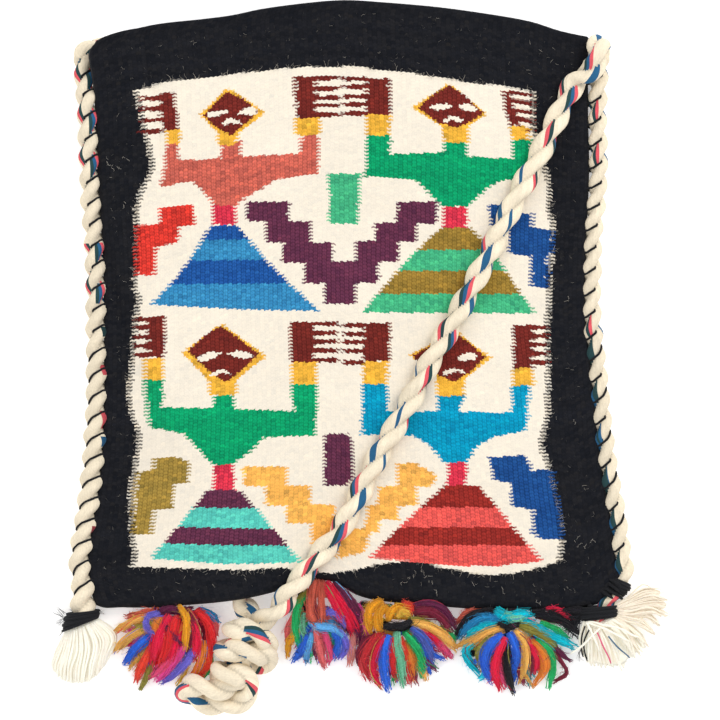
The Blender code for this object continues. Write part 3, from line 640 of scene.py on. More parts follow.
# four skirts: outline, then the lower end of each stripe and its colour
SKIRTS = [
    ([(212, 226), (238, 226), (249, 240), (268, 262), (290, 284), (319, 311), (250, 310), (152, 305), (178, 277),
      (195, 254)],
     [(240, DARK_BLUE), (260.5, LIGHT_BLUE), (284, DARK_BLUE), (400, LIGHT_BLUE)], -0.012),
    ([(441, 228), (470, 228), (484, 242), (500, 263), (517, 288), (534, 313.6), (362.6, 312.5), (385, 285), (410, 257)],
     [(250, OLIVE), (271, MINT), (294, OLIVE), (400, MINT)], 0.0),
    ([(209, 489), (240, 489), (262, 514), (302, 562), (226, 563), (151, 558), (178, 526)],
     [(507, PURPLE), (527, TURQUOISE), (544, PURPLE), (600, TURQUOISE)], 0.02),
    ([(444, 485), (478, 485), (502, 513), (541.5, 561), (500, 565.5), (456, 566), (410, 561), (370, 557), (402, 524)],
     [(507, DARK_RED), (527, CORAL), (545, DARK_RED), (600, CORAL)], 0.0),
]


NEAR_EDGE = [(160, 96), (520, 96), (530, 300), (530, 550), (160, 556), (156, 300)]  # away from the field's border
HEADS = [(204, 92, 262, 135), (418, 86, 482, 127), (188, 327, 260, 382), (413, 337, 485, 381)]


def inside(poly, px, py):
    """Which points lie in the polygon."""
    poly = np.asarray(poly, float)
    hit = np.zeros(px.shape, bool)
    lo, hi = poly.min(axis=0), poly.max(axis=0)
    near = (px >= lo[0]) & (px <= hi[0]) & (py >= lo[1]) & (py <= hi[1])
    x, y = px[near], py[near]
    got = np.zeros(x.shape, bool)
    for (x0, y0), (x1, y1) in zip(poly, np.roll(poly, -1, axis=0)):
        if y0 == y1:
            continue
        cross = (y0 > y) != (y1 > y)
        got ^= cross & (x < (x1 - x0) * (y - y0) / (y1 - y0) + x0)
    hit[near] = got
    return hit


def picture(px, py):
    """Thread colour at drawing points, and whether each is black ground."""
    out = np.broadcast_to(BLACK, px.shape + (3,)).copy()
    ground = ~inside(FIELD, px, py)
    for colour, poly in SHAPES:
        out[inside(poly, px, py)] = colour
    for poly, stripes, slope in SKIRTS:
        within = inside(poly, px, py)
        centre = sum(p[0] for p in poly) / len(poly)
        level = py - slope * (px - centre)
        above = -1e9
        for low, colour in stripes:
            out[within & (level > above) & (level <= low)] = colour
            above = low
    return out, ground


# ---------------------------------------------------------------- the woven cloth
NU, FULL_ROWS, FULL_INNER = 216, 336, 8  # half threads across, half beads up, rows to one inner row


def cloth_layer(name, sign, row_step):
    """One side of the folded cloth as a closed body: woven outer face, plain inner face, rounded mouth rim."""
    NR = FULL_ROWS // row_step
    INNER_STEP = FULL_INNER // row_step
    c, r = np.meshgrid(np.arange(NU + 1), np.arange(NR + 1), indexing="ij")
    u, v = c / NU, r / NR
    x, y = bag_point(u, v)
    low, top = cloth_heights(x, y)
    mid, half = (low + top) / 2, (top - low) / 2
    side = np.minimum(u, 1 - u) * WIDTH_MM
    f = edge_round(side, CLOTH_T) * edge_round(v * HEIGHT_MM, 5.6)
    column = (c - 1) // 2
    crest = (r + column) % 2 == 0
    if row_step == 1:
        relief = np.where(c % 2 == 1, np.where(crest, 0.42, 0.04), -0.42)
    else:
        relief = np.where(c % 2 == 1, 0.30, -0.36)
    left_crest = (r + (c // 2 - 1)) % 2 == 0
    lean = 0.17 if row_step == 1 else 0.0
    shift = np.where(c % 2 == 0, np.where(left_crest, lean, -lean), 0.0) / UNIT_MM
    wander = 0.16 * np.sin(v * 71 + np.sin(c * 0.11) * 3) + 0.10 * np.sin(v * 23 + c * 0.5)
    border = (c == 0) | (c == NU) | (r == 0)
    shift = np.where(border, 0.0, shift + wander)
    fade = np.where(border, 0.0, f)
    base = -0.28 if sign > 0 else -0.55
    z = mid + sign * (half * f + (base + relief) * fade)
    arch = np.where(border, 0.0, np.where(c % 2 == 1, 0.4, -0.4)) * np.minimum(1.0, (NR - r) / 6)
    outer = place(x + shift, y - arch, z)

    # inner face
    rows = np.arange(0, NR + 1, INNER_STEP)
    cu, cv = c[:, rows], r[:, rows]
    xi, yi, mi, hi = x[:, rows], y[:, rows], mid[:, rows], half[:, rows]
    si = side[:, rows]
    open_up = smoothstep(CAVITY_SIDE - 1.5, CAVITY_SIDE + 7, si) * smoothstep(CAVITY_FOLD - 2.5, CAVITY_FOLD + 4,
                                                                         cv / NR * HEIGHT_MM)
    zi = mi + sign * np.maximum((hi - 2.9) * open_up, 0.06)
    inner = place(xi, yi, zi)

    ni = len(rows)
    oid = np.arange((NU + 1) * (NR + 1)).reshape(NU + 1, NR + 1)
    verts = [outer.reshape(-1, 3)]
    count = outer.shape[0] * outer.shape[1]
    iid = np.full((NU + 1, ni), -1)
    iid[0, :], iid[NU, :], iid[:, 0] = oid[0, rows], oid[NU, rows], oid[:, 0]
    free = iid < 0
    iid[free] = count + np.arange(free.sum())
    verts.append(inner[free])
    count += int(free.sum())
    # rim rows at the mouth
    rim = []
    o_end, i_end = outer[:, -1], inner[:, -1]
    outward = np.stack([np.gradient(-y[:, -1]) * 0, np.ones(NU + 1), np.zeros(NU + 1)], axis=1)
    for k in (1, 2, 3):
        t = math.pi * k / 4
        p = (o_end + i_end) / 2 + (o_end - i_end) / 2 * math.cos(t) + outward * 1.25 * math.sin(t)
        ids = np.full(NU + 1, -1)
        ids[0], ids[NU] = oid[0, -1], oid[NU, -1]
        ids[1:-1] = count + np.arange(NU - 1)
        verts.append(p[1:-1])
        count += NU - 1
        rim.append(ids)

    def faces(ids):
        return np.stack([ids[:-1, :-1], ids[1:, :-1], ids[1:, 1:], ids[:-1, 1:]], axis=-1)

    of = faces(oid)  # columns x rows x 4
    cc, rr = np.meshgrid(np.arange(NU), np.arange(NR), indexing="ij")
    col = cc // 2
    bead = np.where((rr + col) % 2 == 0, rr, rr + 1)
    bx = (x[:-1, :-1] + x[1:, 1:]) / 2
    by = (y[:-1, :-1] + y[1:, 1:]) / 2
    if sign > 0:
        reach = np.full(bx.shape, 1.9) + rng.uniform(-0.5, 0.7, bx.shape)
        reach = np.where(inside(NEAR_EDGE, bx, by), reach, reach + 1.2)
        for x0, y0, x1, y1 in HEADS:
            reach[(bx > x0) & (bx < x1) & (by > y0) & (by < y1)] = 0.5
        toothed, _ = picture(bx + np.where(rr % 2 == 0, reach, -reach), by)
        straight, _ = picture(bx, by)
        colours = 0.74 * toothed + 0.26 * straight
    else:
        colours = np.broadcast_to(BLACK, bx.shape + (3,)).copy()
    bead_noise = rng.normal(0, 1, (NU // 2 + 1, NR + 2))[col, bead]
    weft = rng.normal(0, 1, NR + 2)
    weft = np.convolve(weft, [0.3, 0.4, 0.3], mode="same")[bead]
    calm = np.where(colours.mean(axis=-1) > 0.6, 0.20, np.where(colours.mean(axis=-1) < 0.03, 1.9, 1.0))
    tone = 1 + (0.095 * bead_noise + 0.065 * weft) * calm
    colours = colours * np.clip(tone, 0.72, 1.3)[..., None]
    warm = 1 + np.stack([0.02 * bead_noise, 0 * bead_noise, -0.03 * bead_noise], axis=-1) * calm[..., None]
    colours = colours * warm

    quads, qcol, tris = [of.reshape(-1, 4)], [colours.reshape(-1, 3)], []
    inner_faces = faces(iid)
    core = inner_faces[1:-1, :].reshape(-1, 4)
    quads.append(core[:, ::-1])
    qcol.append(np.broadcast_to(BLACK, (len(core), 3)))
    # the first and last inner strip share the outer border, which is finer
    for edge, nxt, flip in ((0, 1, True), (NU, NU - 1, False)):
        for j in range(ni - 1):
            a, b = iid[nxt, j], iid[nxt, j + 1]
            chain = oid[edge, rows[j]:rows[j + 1] + 1]
            m = len(chain) // 2 if j else 0
            t = [(a, chain[k + 1], chain[k]) for k in range(m)] + [(a, b, chain[m])]
            t += [(b, chain[k + 1], chain[k]) for k in range(m, len(chain) - 1)]
            tris += [(p, s, q) for p, q, s in t] if flip else t
    # rim
    bands = [oid[:, -1]] + rim + [iid[:, -1]]
    for p, q in zip(bands, bands[1:]):
        band = np.stack([p[:-1], p[1:], q[1:], q[:-1]], axis=1)
        body, ends = band[1:-1], band[[0, -1]]
        quads.append(body)
        qcol.append(np.broadcast_to(BLACK, (len(body), 3)))
        for face in ends:
            loop = list(dict.fromkeys(int(k) for k in face))
            if len(loop) == 3:
                tris.append(tuple(loop))
    quads = np.concatenate(quads)
    tris = np.array(tris)
    if sign < 0:
        quads, tris = quads[:, ::-1], tris[:, ::-1]
    b = Builder()
    verts = np.concatenate(verts)
    flow = np.tile([0.5, 0.0, 0.0], (len(verts), 1))
    flow[:c.size, 0] = c.ravel() / 2
    flow[:c.size, 1] = r.ravel() * row_step / 2
    b.add(verts, quads, np.concatenate(qcol), tris, BLACK, flow)
    return b.build(name, WEAVE)


front = cloth_layer("woven_front", 1, 1)
back = cloth_layer("woven_back", -1, 2)

# ---------------------------------------------------------------- rope paths
def rope_axis(side, y):
    table, sign = (LEFT, -1) if side == "left" else (RIGHT, 1)
    edge = float(interp(table, y))
    low, top = cloth_heights(edge, y)
    height = max(SIDE_ROPE_Z, float(low + top) / 2 - 0.3)
    if side == "left":
        height += (BACK_RUN_Z - height) * (1 - float(smoothstep(LEFT_TOP + 3, LEFT_TOP + 50, y)))
    away = 10.0 + 3.2 * (1 - float(smoothstep(66, 96, y))) if side == "left" else 8.9 + 3.0 * (1 - float(smoothstep(175, 240, y)))
    return edge + sign * away, height


def side_path(side, top_y, low_y, tail):
    points = []
    for k in range(27):
        y = top_y + (low_y - top_y) * k / 26
        x, z = rope_axis(side, y)
        points.append(place(x, y, z))
    return catmull(points + [place(*p) for p in tail], 4)


left_side = side_path("left", LEFT_TOP, 585, [(82.3, 597, 7.4), (82.4, 607, 7.5), (81.3, 616, 7.4), (80.8, 623, 7.3)])
right_side = side_path("right", RIGHT_TOP, 573, [(622.5, 583, 6.9), (617, 594, 7.0), (609, 603, 7.2),
                                                 (603.5, 611, 7.3), (600.5, 618, 7.3), (598.5, 623, 7.3)])
rope_x, rope_z = rope_axis("right", RIGHT_TOP)
over_corner = [place(rope_x, RIGHT_TOP - 1.6, rope_z)]
for k in range(7):
    t = math.pi * k / 6
    over_corner.append(place(rope_x - 3.4 * k / 6, RIGHT_TOP - 3.4 - STRAP_TURN / UNIT_MM * math.sin(t),
                             rope_z + STRAP_TURN * (1 - math.cos(t))))
over_corner.append(place(591, 71, 20.6))
across = [place(px, py, float(cloth_heights(px, py)[1]) + STRAP_R + 0.3) for px, py in STRAP_FRONT]
KNOT = [(241.3, 603.6, 6.1), (246.5, 609, 7.6), (250, 618, 7.0), (245, 627, 6.4), (238, 631, 7.6),
        (232.5, 631, 13.5), (237.5, 627.5, 20.0), (247, 629, 21.6), (257, 633, 21.4), (264.5, 639, 19),
        (267.5, 645, 13.5), (262, 649, 7.4), (250, 651, 6), (236, 651, 6.2), (228, 650, 8.0), (224.5, 649.5, 13.5),
        (229, 648.5, 19.8), (241, 649.5, 21.6), (253, 651, 21.5), (263, 653.5, 19.2), (267.5, 658, 13.5),
        (260, 664, 7.4), (247, 668, 6.2), (232, 670, 6.4), (221, 671, 8.6), (217.5, 672, 13.5), (222, 672.5, 18.6),
        (233, 672.5, 20.8), (243, 674.5, 19.4), (249, 681, 15.5), (249.5, 690, 11.6), (245, 698, 8.8),
        (236, 703, 7.4), (222, 705.5, 7.0), (206, 703.5, 7.0), (193, 698, 7.2), (185.5, 691, 9.6), (187.5, 685.5, 13.6),
        (198, 684.5, 16.6), (212, 687.5, 17.6), (225, 687.5, 16.6), (236, 682, 14.6), (244, 670, 13.5),
        (247, 655, 13.5), (250, 640, 13.5), (256, 626, 14.4), (265, 618, 16.6), (275, 611.5, 19.0),
        (283, 602, 20.4)]
strap_points = over_corner + across + [place(288, 592, across[-1][2] - 0.3)]
strap_points += [place(*p) for p in reversed(KNOT)]
rope_x, rope_z = rope_axis("left", LEFT_TOP)
turn_r = (BACK_RUN[2][0] - rope_x) / 2
turn = [place(rope_x, LEFT_TOP - 3.0, BACK_RUN_Z)]
turn += [place(rope_x + turn_r * (1 - math.cos(math.pi * k / 6)), LEFT_TOP - 5.2 - turn_r * math.sin(math.pi * k / 6),
               BACK_RUN_Z) for k in range(7)]
under = [place(x, y, BACK_RUN_Z) for x, y in BACK_RUN[3:]]
strap_points += list(reversed(under)) + list(reversed(turn))
strap_line = catmull(strap_points, 6)

# one rope from the left tassel up the side, under the bag, over it and down the right side
RING_STEP = 1.4
pieces_of_rope = [respace(left_side[::-1], RING_STEP), respace(strap_line[::-1], RING_STEP), respace(right_side, RING_STEP)]
whole = np.concatenate([pieces_of_rope[0], pieces_of_rope[1], pieces_of_rope[2]])
cut_a = len(pieces_of_rope[0])
cut_b = cut_a + len(pieces_of_rope[1])
for _ in range(3):  # ease the joints
    whole[1:-1] = 0.25 * whole[:-2] + 0.5 * whole[1:-1] + 0.25 * whole[2:]
S = lengths_of(whole)
T, N, B = carried_frames(whole, (-1.0, 0.0, 0.0))
KNOT_START = S[cut_a] + lengths_of(catmull(list(reversed([*map(np.asarray, turn)])), 6))[-1] + \
    lengths_of(catmull(list(reversed(under)), 6))[-1]
knot_length = lengths_of(catmull([place(*p) for p in KNOT], 6))[-1]
pitch = np.interp(S, [0, S[cut_a], S[cut_a] + 20, KNOT_START - 20, KNOT_START + 10, KNOT_START + knot_length,
                      KNOT_START + knot_length + 45, S[cut_b - 1] - 70, S[cut_b - 1] - 25, S[cut_b]],
                  [23.6, 23.6, 34, 37, 33, 33, 38.5, 38.5, 32, 23.6])
phase = np.concatenate([[0.0], np.cumsum(2 * math.pi * np.diff(S) / ((pitch[1:] + pitch[:-1]) / 2))]) + 0.8
radius = np.interp(S, [0, 4, 8, 13, 21, 34, 60, 95, 130, S[cut_a] - 10, S[cut_a] + 15, S[cut_b - 1] - 15, S[cut_b] + 10,
                       S[-1] - 32, S[-1] - 26, S[-1] - 19, S[-1] - 12, S[-1]],
                   [5.1, 5.4, 7.0, 7.5, 7.0, 6.4, 6.7, 6.7, 6.1, 6.1, 6.6, 6.6, 5.5, 5.5, 4.2, 3.7, 4.6, 4.8])

YARNS, PER = 18, 3
AROUND = YARNS * PER
OFFSET, STRAND = 0.385, 0.615  # strand centre and strand radius, as shares of the rope's
ACCENTS = {0: {0: 2, 1: 0, 8: 1, 9: 1}, 1: {4: 0, 5: 1, 6: 2, 13: 1}}  # strand -> yarn -> colour
ACCENT_COLOURS = [linear((40, 70, 72)), linear((40, 96, 136)), linear((230, 92, 102))]
# the yarns lean against the twist in the strap and run straight in the sewn side ropes
lean = np.interp(S, [0, S[cut_a] - 5, S[cut_a] + 25, S[cut_b - 1] - 25, S[cut_b] + 5, S[-1]],
                 [0.0016, 0.0016, -0.046, -0.046, 0.0016, 0.0016])
turned = np.concatenate([[0.0], np.cumsum(np.diff(S) * (lean[1:] + lean[:-1]) / 2)])


def strand_profile(angle):
    return OFFSET * np.cos(angle) + np.sqrt(STRAND ** 2 - (OFFSET * np.sin(angle)) ** 2)


def rope_mesh(name, first, last, mat):
    idx = np.arange(first, last)
    n = len(idx)
    theta = 2 * math.pi * np.arange(AROUND) / AROUND
    theta = theta[None, :] + turned[idx][:, None]
    alpha = theta - phase[idx][:, None]
    near = np.arctan2(np.sin(alpha), np.cos(alpha))
    second = np.abs(near) > math.pi / 2
    local = np.where(second, np.arctan2(np.sin(alpha + math.pi), np.cos(alpha + math.pi)), near)
    ridge = 0.5 - 0.5 * np.cos(2 * math.pi * (np.arange(AROUND) % PER) / PER)
    wob = 1 + 0.02 * np.sin(S[idx] / 5.1)[:, None] + 0.015 * np.sin(S[idx][:, None] / 2.3 + theta * 3)
    r = radius[idx][:, None] * (strand_profile(local) * wob - 0.02 + 0.03 * ridge[None, :])
    ring = N[idx][:, None, :] * np.cos(theta)[..., None] + B[idx][:, None, :] * np.sin(theta)[..., None]
    verts = (whole[idx][:, None, :] + ring * r[..., None])
    for end in ((0, 1, 2) if first > 0 else ()) + ((-1, -2, -3) if last < len(whole) else ()):
        sunk = 0.80 + 0.07 * (abs(end) if end >= 0 else abs(end) - 1)
        verts[end] = whole[idx[end]] + (verts[end] - whole[idx[end]]) * sunk
    verts[..., 2] = np.maximum(verts[..., 2], 0.12)
    quads = grid_quads(n, AROUND, True)
    rr, cc = np.divmod(np.arange((n - 1) * AROUND), AROUND)
    alpha_mid = alpha[rr, cc] + math.pi / AROUND + 0.5 * (alpha[rr + 1, cc] - alpha[rr, cc])
    is_second = np.cos(alpha_mid) < 0
    yarn = ((cc + PER // 2) // PER) % YARNS
    colour = np.broadcast_to(ROPE_CREAM * (1.0 if "strap" in name else 0.93), (len(quads), 3)).copy()
    shade = rng.normal(1, 0.035, (2, YARNS))
    colour *= shade[is_second.astype(int), yarn][:, None]
    # painted shade: the yarns darken by up to 22 % towards the grooves between the two strands
    groove = np.abs(np.arctan2(np.sin(alpha_mid), np.cos(alpha_mid)))
    groove = np.minimum(groove, math.pi - groove)
    colour *= (1 - 0.22 * smoothstep(math.radians(64), math.radians(90), groove))[:, None]
    colour *= (1 + 0.03 * np.sin(S[idx][rr] / 31.0) + 0.02 * np.sin(S[idx][rr] / 7.7))[:, None]
    ring_s = S[idx][rr]
    ring_y = CENTRE_Y - whole[idx][rr, 1] / UNIT_MM
    plain = (ring_s > KNOT_START) & (ring_s < KNOT_START + knot_length)
    if "left" in name:
        bare = ((ring_y > 188) & (ring_y < 244)) | (ring_y > 306)
    elif "right" in name:
        bare = ((ring_y > 176) & (ring_y < 300)) | ((ring_y > 336) & (ring_y < 592))
    else:
        bare = np.zeros(len(ring_s), bool)
    for strand, table in ACCENTS.items():
        for which, pick in table.items():
            skip = bare | (plain & (np.sin(ring_s / 7.0) > 0.25))
            colour[(is_second == bool(strand)) & (yarn == which) & ~skip] = ACCENT_COLOURS[pick]
    towards, upward = ring[rr, cc, 0], ring[rr, cc, 2]
    turn_no = np.floor(alpha_mid / (2 * math.pi)).astype(int)
    if "right" in name:
        patch = is_second & (ring_y > 330) & (ring_y < 590) & (towards < -0.22) & (upward > -0.1)
        colour[patch] = ACCENT_COLOURS[0]
        colour[patch & (towards < -0.74) & (turn_no % 3 != 0)] = ACCENT_COLOURS[1]
        colour[patch & (towards > -0.55) & (turn_no % 5 == 1)] = ACCENT_COLOURS[1]
    else:
        ring_px = whole[idx][rr, 0] / UNIT_MM + CENTRE_X
        patch = ~is_second & (ring_px < 92) & (ring_y < 64) & (towards < -0.30) & (upward > -0.2)
        colour[patch] = ACCENT_COLOURS[0]
        colour[patch & (towards < -0.62)] = ACCENT_COLOURS[1]
        for y_from, y_to, pick in ((328, 337, 0), (367, 375, 2), (413, 421, 2), (423, 430, 2), (438, 447, 1),
                                   (527, 534, 2)) if "left" in name else ():
            spot = (ring_y > y_from) & (ring_y < y_to) & (towards > 0.60) & (upward > -0.2)
            colour[spot] = ACCENT_COLOURS[pick] * (0.35 if y_from > 500 else 0.7)
    if "right" in name:
        for part, pick in ((1, 0), (2, 1), (3, 2), (4, 2)):
            colour[(ring_y > 594) & (yarn % 6 == part)] = ACCENT_COLOURS[pick]
    flow = np.stack([np.repeat(S[idx], AROUND), np.tile(np.arange(AROUND) * 2 * math.pi / PER / 9.0, n),
                     np.zeros(n * AROUND)], axis=1)
    k = np.arange(AROUND)
    k2 = (k + 1) % AROUND
    end = (n - 1) * AROUND
    tris = np.concatenate([np.stack([np.full(AROUND, n * AROUND), k2, k], axis=1),
                           np.stack([np.full(AROUND, n * AROUND + 1), end + k, end + k2], axis=1)])
    verts = np.concatenate([verts.reshape(-1, 3), whole[idx[:1]], whole[idx[-1:]]])
    flow = np.concatenate([flow, np.zeros((2, 3))])
    b = Builder()
    b.add(verts, quads, colour, tris, ROPE_CREAM, flow)
    return b.build(name, mat)


rope_left = rope_mesh("twisted_rope_left", 0, cut_a + 4, COTTON)
strap = rope_mesh("twisted_strap", cut_a, cut_b, COTTON)
rope_right = rope_mesh("twisted_rope_right", cut_b - 4, len(whole), COTTON)

# ---------------------------------------------------------------- whip stitches in the rope's grooves
THREAD_BLACK = linear((26, 27, 31))


def whip(name, first, last, s_from, s_to, cloth_side):
    """Thread that follows each groove over the rope, goes round beneath it and through the cloth's edge."""
    idx = np.arange(first, last)
    up = np.arctan2(B[idx][:, 2], N[idx][:, 2])  # direction of up in the rope's own frame
    rel = np.unwrap(phase[idx] - up)
    s = S[idx]
    target = math.pi / 2
    k0, k1 = math.ceil((rel[0] - target) / math.pi), math.floor((rel[-1] - target) / math.pi)
    path = []
    for k in range(k0, k1 + 1):
        centre = np.interp(target + k * math.pi, rel, s)
        if not s_from <= centre <= s_to:
            continue
        quarter = np.interp(centre, s, pitch[idx]) / 4
        size = np.interp(centre, S, radius)
        low_r, high_r = 0.47 * size + 0.75, 0.80 * size
        jog = rng.normal(0, 0.25)
        for d in (-252, -215):  # up from beneath, on the cloth's side
            path.append((centre + 0.5 * quarter + jog, d, 0.95 * size))
        row = CENTRE_Y - np.interp(centre, S, whole[:, 1]) / UNIT_MM
        for d in (-104, -84, -60, -38, -15, 8, 26):  # over the top in the groove
            share = min(1.0, abs(d) / 90)
            path.append((centre - 0.55 * quarter * d / 90 + jog, -d, low_r + (high_r - low_r) * share ** 2))
        # the lower ones run on round the outer side: all at the left, every second one at the right
        if row > 330 and (cloth_side > 0 or k % 2):
            for d, out in ((46, 0.0), (66, 0.02), (86, 0.05), (104, 0.05)):
                path.append((centre - quarter * (0.16 + 0.92 * (d - 26) / 90) + jog, -d, low_r + out * size))
            path.append((centre - 0.9 * quarter + jog, -135, 0.5 * size))
        else:
            path.append((centre - 0.36 * quarter + jog, -42, 0.30 * size))  # down between the strands
        path.append((centre + jog, 180, 0.5 * size))
    pts = []
    for where, d, r in path:
        c = np.array([np.interp(where, S, whole[:, a]) for a in range(3)])
        t = np.array([np.interp(where, S, T[:, a]) for a in range(3)])
        t /= np.linalg.norm(t)
        side = np.cross(t, (0.0, 0.0, 1.0))
        side /= np.linalg.norm(side)
        over = np.cross(side, t)
        a = math.radians(d)
        # positive d turns with the rope's twist, and starts towards the cloth
        lateral = math.sin(a) * side
        reach = lateral * r + over * (math.cos(a) * r)
        if np.sign(reach[0]) == cloth_side and 80 < abs(d) < 110:
            reach = reach + np.array([cloth_side * 2.6, 0.0, 0.0])
        pts.append(c + reach)
    pts = np.array(pts)
    pts[:, 2] = np.maximum(pts[:, 2], 0.75)
    smooth = respace(catmull(pts, 3), 1.1)
    b = Builder()
    tube(b, smooth, 0.66, 6, THREAD_BLACK)
    return b.build(name, THREAD)


thread_left = whip("whip_stitches_left", 0, cut_a, 19.0, S[cut_a] - 6, 1)
thread_right = whip("whip_stitches_right", cut_b, len(whole), S[cut_b] + 6, S[-1] - 36, -1)


# ---------------------------------------------------------------- bindings
def binding(centre, axis, side, half_a, half_b, length, turns, fan=0.0):
    """Thread wound tightly round a rope's end over a closed inner shell; short frayed ends are added to its builder
    afterwards.
    """
    axis = np.asarray(axis, float) / np.linalg.norm(axis)
    side = np.asarray(side, float) / np.linalg.norm(side)
    over = np.cross(axis, side)
    if over[2] < 0:
        over = -over
    b = Builder()
    steps = turns * 22
    t = np.arange(steps + 1) / steps
    ang = 2 * math.pi * turns * t
    swell = 1 - 0.12 * (2 * t - 1) ** 4 + 0.03 * np.sin(ang * 0.37) + 0.02 * np.sin(ang * 1.31)
    wander = 0.35 * np.sin(ang * 0.71 + 1.0)
    p = (centre + axis * ((t - 0.5) * length * (1 - fan * np.cos(ang)) + wander)[:, None] + side * (half_a * swell * np.cos(ang))[:, None]
         + over * (half_b * swell * np.sin(ang))[:, None])
    p[:, 2] = np.maximum(p[:, 2], 0.75)
    rad = 0.72
    tube(b, p, rad, 6, THREAD_BLACK)
    t2 = np.linspace(-0.5, 0.5, 7)
    core = centre + axis * (t2 * length * 0.97)[:, None]
    ringn = 24
    a2 = 2 * math.pi * np.arange(ringn) / ringn
    shell = (core[:, None, :] - axis[None, None, :] * (t2[:, None] * length * fan * np.cos(a2)[None, :])[..., None]
             + side[None, None, :] * ((half_a - 0.35) * np.cos(a2))[None, :, None]
             + over[None, None, :] * ((half_b - 0.35) * np.sin(a2))[None, :, None])
    shell[..., 2] = np.maximum(shell[..., 2], 0.4)
    quads = grid_quads(7, ringn, True)
    k = np.arange(ringn)
    k2 = (k + 1) % ringn
    verts = np.concatenate([shell.reshape(-1, 3), core[:1], core[-1:]])
    tris = np.concatenate([np.stack([np.full(ringn, 7 * ringn), k2, k], axis=1),
                           np.stack([np.full(ringn, 7 * ringn + 1), 6 * ringn + k, 6 * ringn + k2], axis=1)])
    b.add(verts, quads, THREAD_BLACK, tris, THREAD_BLACK)
    return b


def coil(b, s_from, s_to, turns, grow):
    """Thread wound round the rope itself, a little unevenly."""
    t = np.linspace(0, 1, turns * 20 + 1)
    where = s_from + (s_to - s_from) * t
    ang = 2 * math.pi * turns * t
    where = where + 0.5 * np.sin(ang * 0.43) * np.sin(math.pi * t)
    centre = np.stack([np.interp(where, S, whole[:, k]) for k in range(3)], axis=1)
    ahead = np.stack([np.interp(where, S, T[:, k]) for k in range(3)], axis=1)
    ahead /= np.linalg.norm(ahead, axis=1, keepdims=True)
    side = np.cross(ahead, (0.0, 0.0, 1.0))
    side /= np.linalg.norm(side, axis=1, keepdims=True)
    over = np.cross(side, ahead)
    r = np.interp(where, S, radius) * 0.90 + grow + 0.35 * np.sin(ang * 0.29) + 0.15 * np.sin(ang * 1.7)
    p = centre + side * (np.cos(ang) * r)[:, None] + over * (np.sin(ang) * r)[:, None]
    p[:, 2] = np.maximum(p[:, 2], 0.75)
    tube(b, p, 0.74, 6, THREAD_BLACK)


def frayed(b, anchor, direction, count, length, spread, radius=0.2):
    for _ in range(count):
        a = math.atan2(-direction[1], direction[0]) + rng.normal(0, spread)
        start = place(anchor[0] + rng.uniform(-3, 3), anchor[1] + rng.uniform(-4, 4), rng.uniform(3, 9))
        n = 6
        turnk = np.cumsum(rng.normal(0, 0.13, n))
        step = length * rng.uniform(0.55, 1.1) / n
        p = [start]
        for k in range(n):
            p.append(p[-1] + np.array([math.cos(a + turnk[k]), math.sin(a + turnk[k]), rng.uniform(-0.22, 0.06)]) * step)
        p = np.array(p)
        p[:, 2] = np.maximum(p[:, 2], 0.5)
        tube(b, catmull(p, 2), np.linspace(radius, radius * 0.5, 2 * n + 1), 5, THREAD_BLACK * rng.uniform(0.8, 3.5))


lb = binding(place(81.0, 618.6, 7.4), (-0.24, -1, 0), (1, 0.24, 0), 9.8, 7.0, 7.6, 9, 0.36)
frayed(lb, (64, 616), (-1.0, -0.8), 8, 8, 0.2, 0.14)
frayed(lb, (63, 620), (-1.0, 0.3), 5, 6, 0.3, 0.14)
frayed(lb, (64, 630), (-0.5, 1.0), 4, 5, 0.3, 0.14)
frayed(lb, (97, 613), (1.0, 0.1), 4, 4, 0.5, 0.16)
frayed(lb, (74, 612), (-0.8, -0.3), 5, 3, 0.8, 0.16)
frayed(lb, (88, 611), (0.8, -0.3), 5, 3, 0.8, 0.16)
binding_left = lb.build("whipped_end_left", THREAD)

rb = binding(place(598.5, 612.8, 7.4), (0.10, -1.0, 0), (1, 0.10, 0), 10.2, 6.4, 6.6, 8, 0.12)
ring_y_all = CENTRE_Y - whole[:, 1] / UNIT_MM
on_right = np.arange(len(whole)) >= cut_b
wind_from = float(S[on_right & (ring_y_all > 581)][0])
wind_to = float(S[on_right & (ring_y_all > 595)][0])
coil(rb, wind_from, wind_to, 8, 0.6)
coil(rb, wind_from + 0.8, wind_to - 2.6, 3, 1.3)
for x0, y0, x1, y1 in ((606, 580, 617, 588), (603, 586, 614, 592), (608, 577, 620, 583), (600, 589, 610, 595),
                       (588, 604, 596, 608)):
    for lift in (0.0, 1.5):
        pts = [place(x0, y0 + lift, 5.5 + lift), place((x0 + x1) / 2, (y0 + y1) / 2 + lift, 9.6 + lift),
               place(x1, y1 + lift, 10.6 + lift), place(x1 + 6, y1 + 4 + lift, 7.5)]
        tube(rb, catmull(pts, 6), 0.72, 6, THREAD_BLACK)
frayed(rb, (582, 616), (-1.0, 0.7), 30, 13, 0.4, 0.30)
frayed(rb, (578, 622), (-0.5, 1.0), 14, 11, 0.4, 0.26)
frayed(rb, (581, 648), (0.1, 1.0), 5, 9, 0.4, 0.16)
frayed(rb, (590, 606), (-0.6, -0.6), 8, 4, 0.7, 0.2)
frayed(rb, (618, 584), (0.9, -0.5), 8, 4, 0.7, 0.2)
binding_right = rb.build("whipped_end_right", THREAD)

# ---------------------------------------------------------------- tassels
TASSEL = linear((255, 249, 234))
FLUFF = linear((254, 242, 223))


def wavy(points, wiggle, count=16):
    p = respace(catmull(points, 6), count=count)
    s = np.linspace(0, 1, count)
    a, b2 = rng.uniform(0, 6.28, 2)
    p[:, 0] += wiggle * np.sin(s * rng.uniform(4, 8) + a) * s
    p[:, 1] += wiggle * np.sin(s * rng.uniform(4, 8) + b2) * s
    p[:, 2] += 0.5 * wiggle * np.sin(s * rng.uniform(5, 9) + b2) * s
    return p


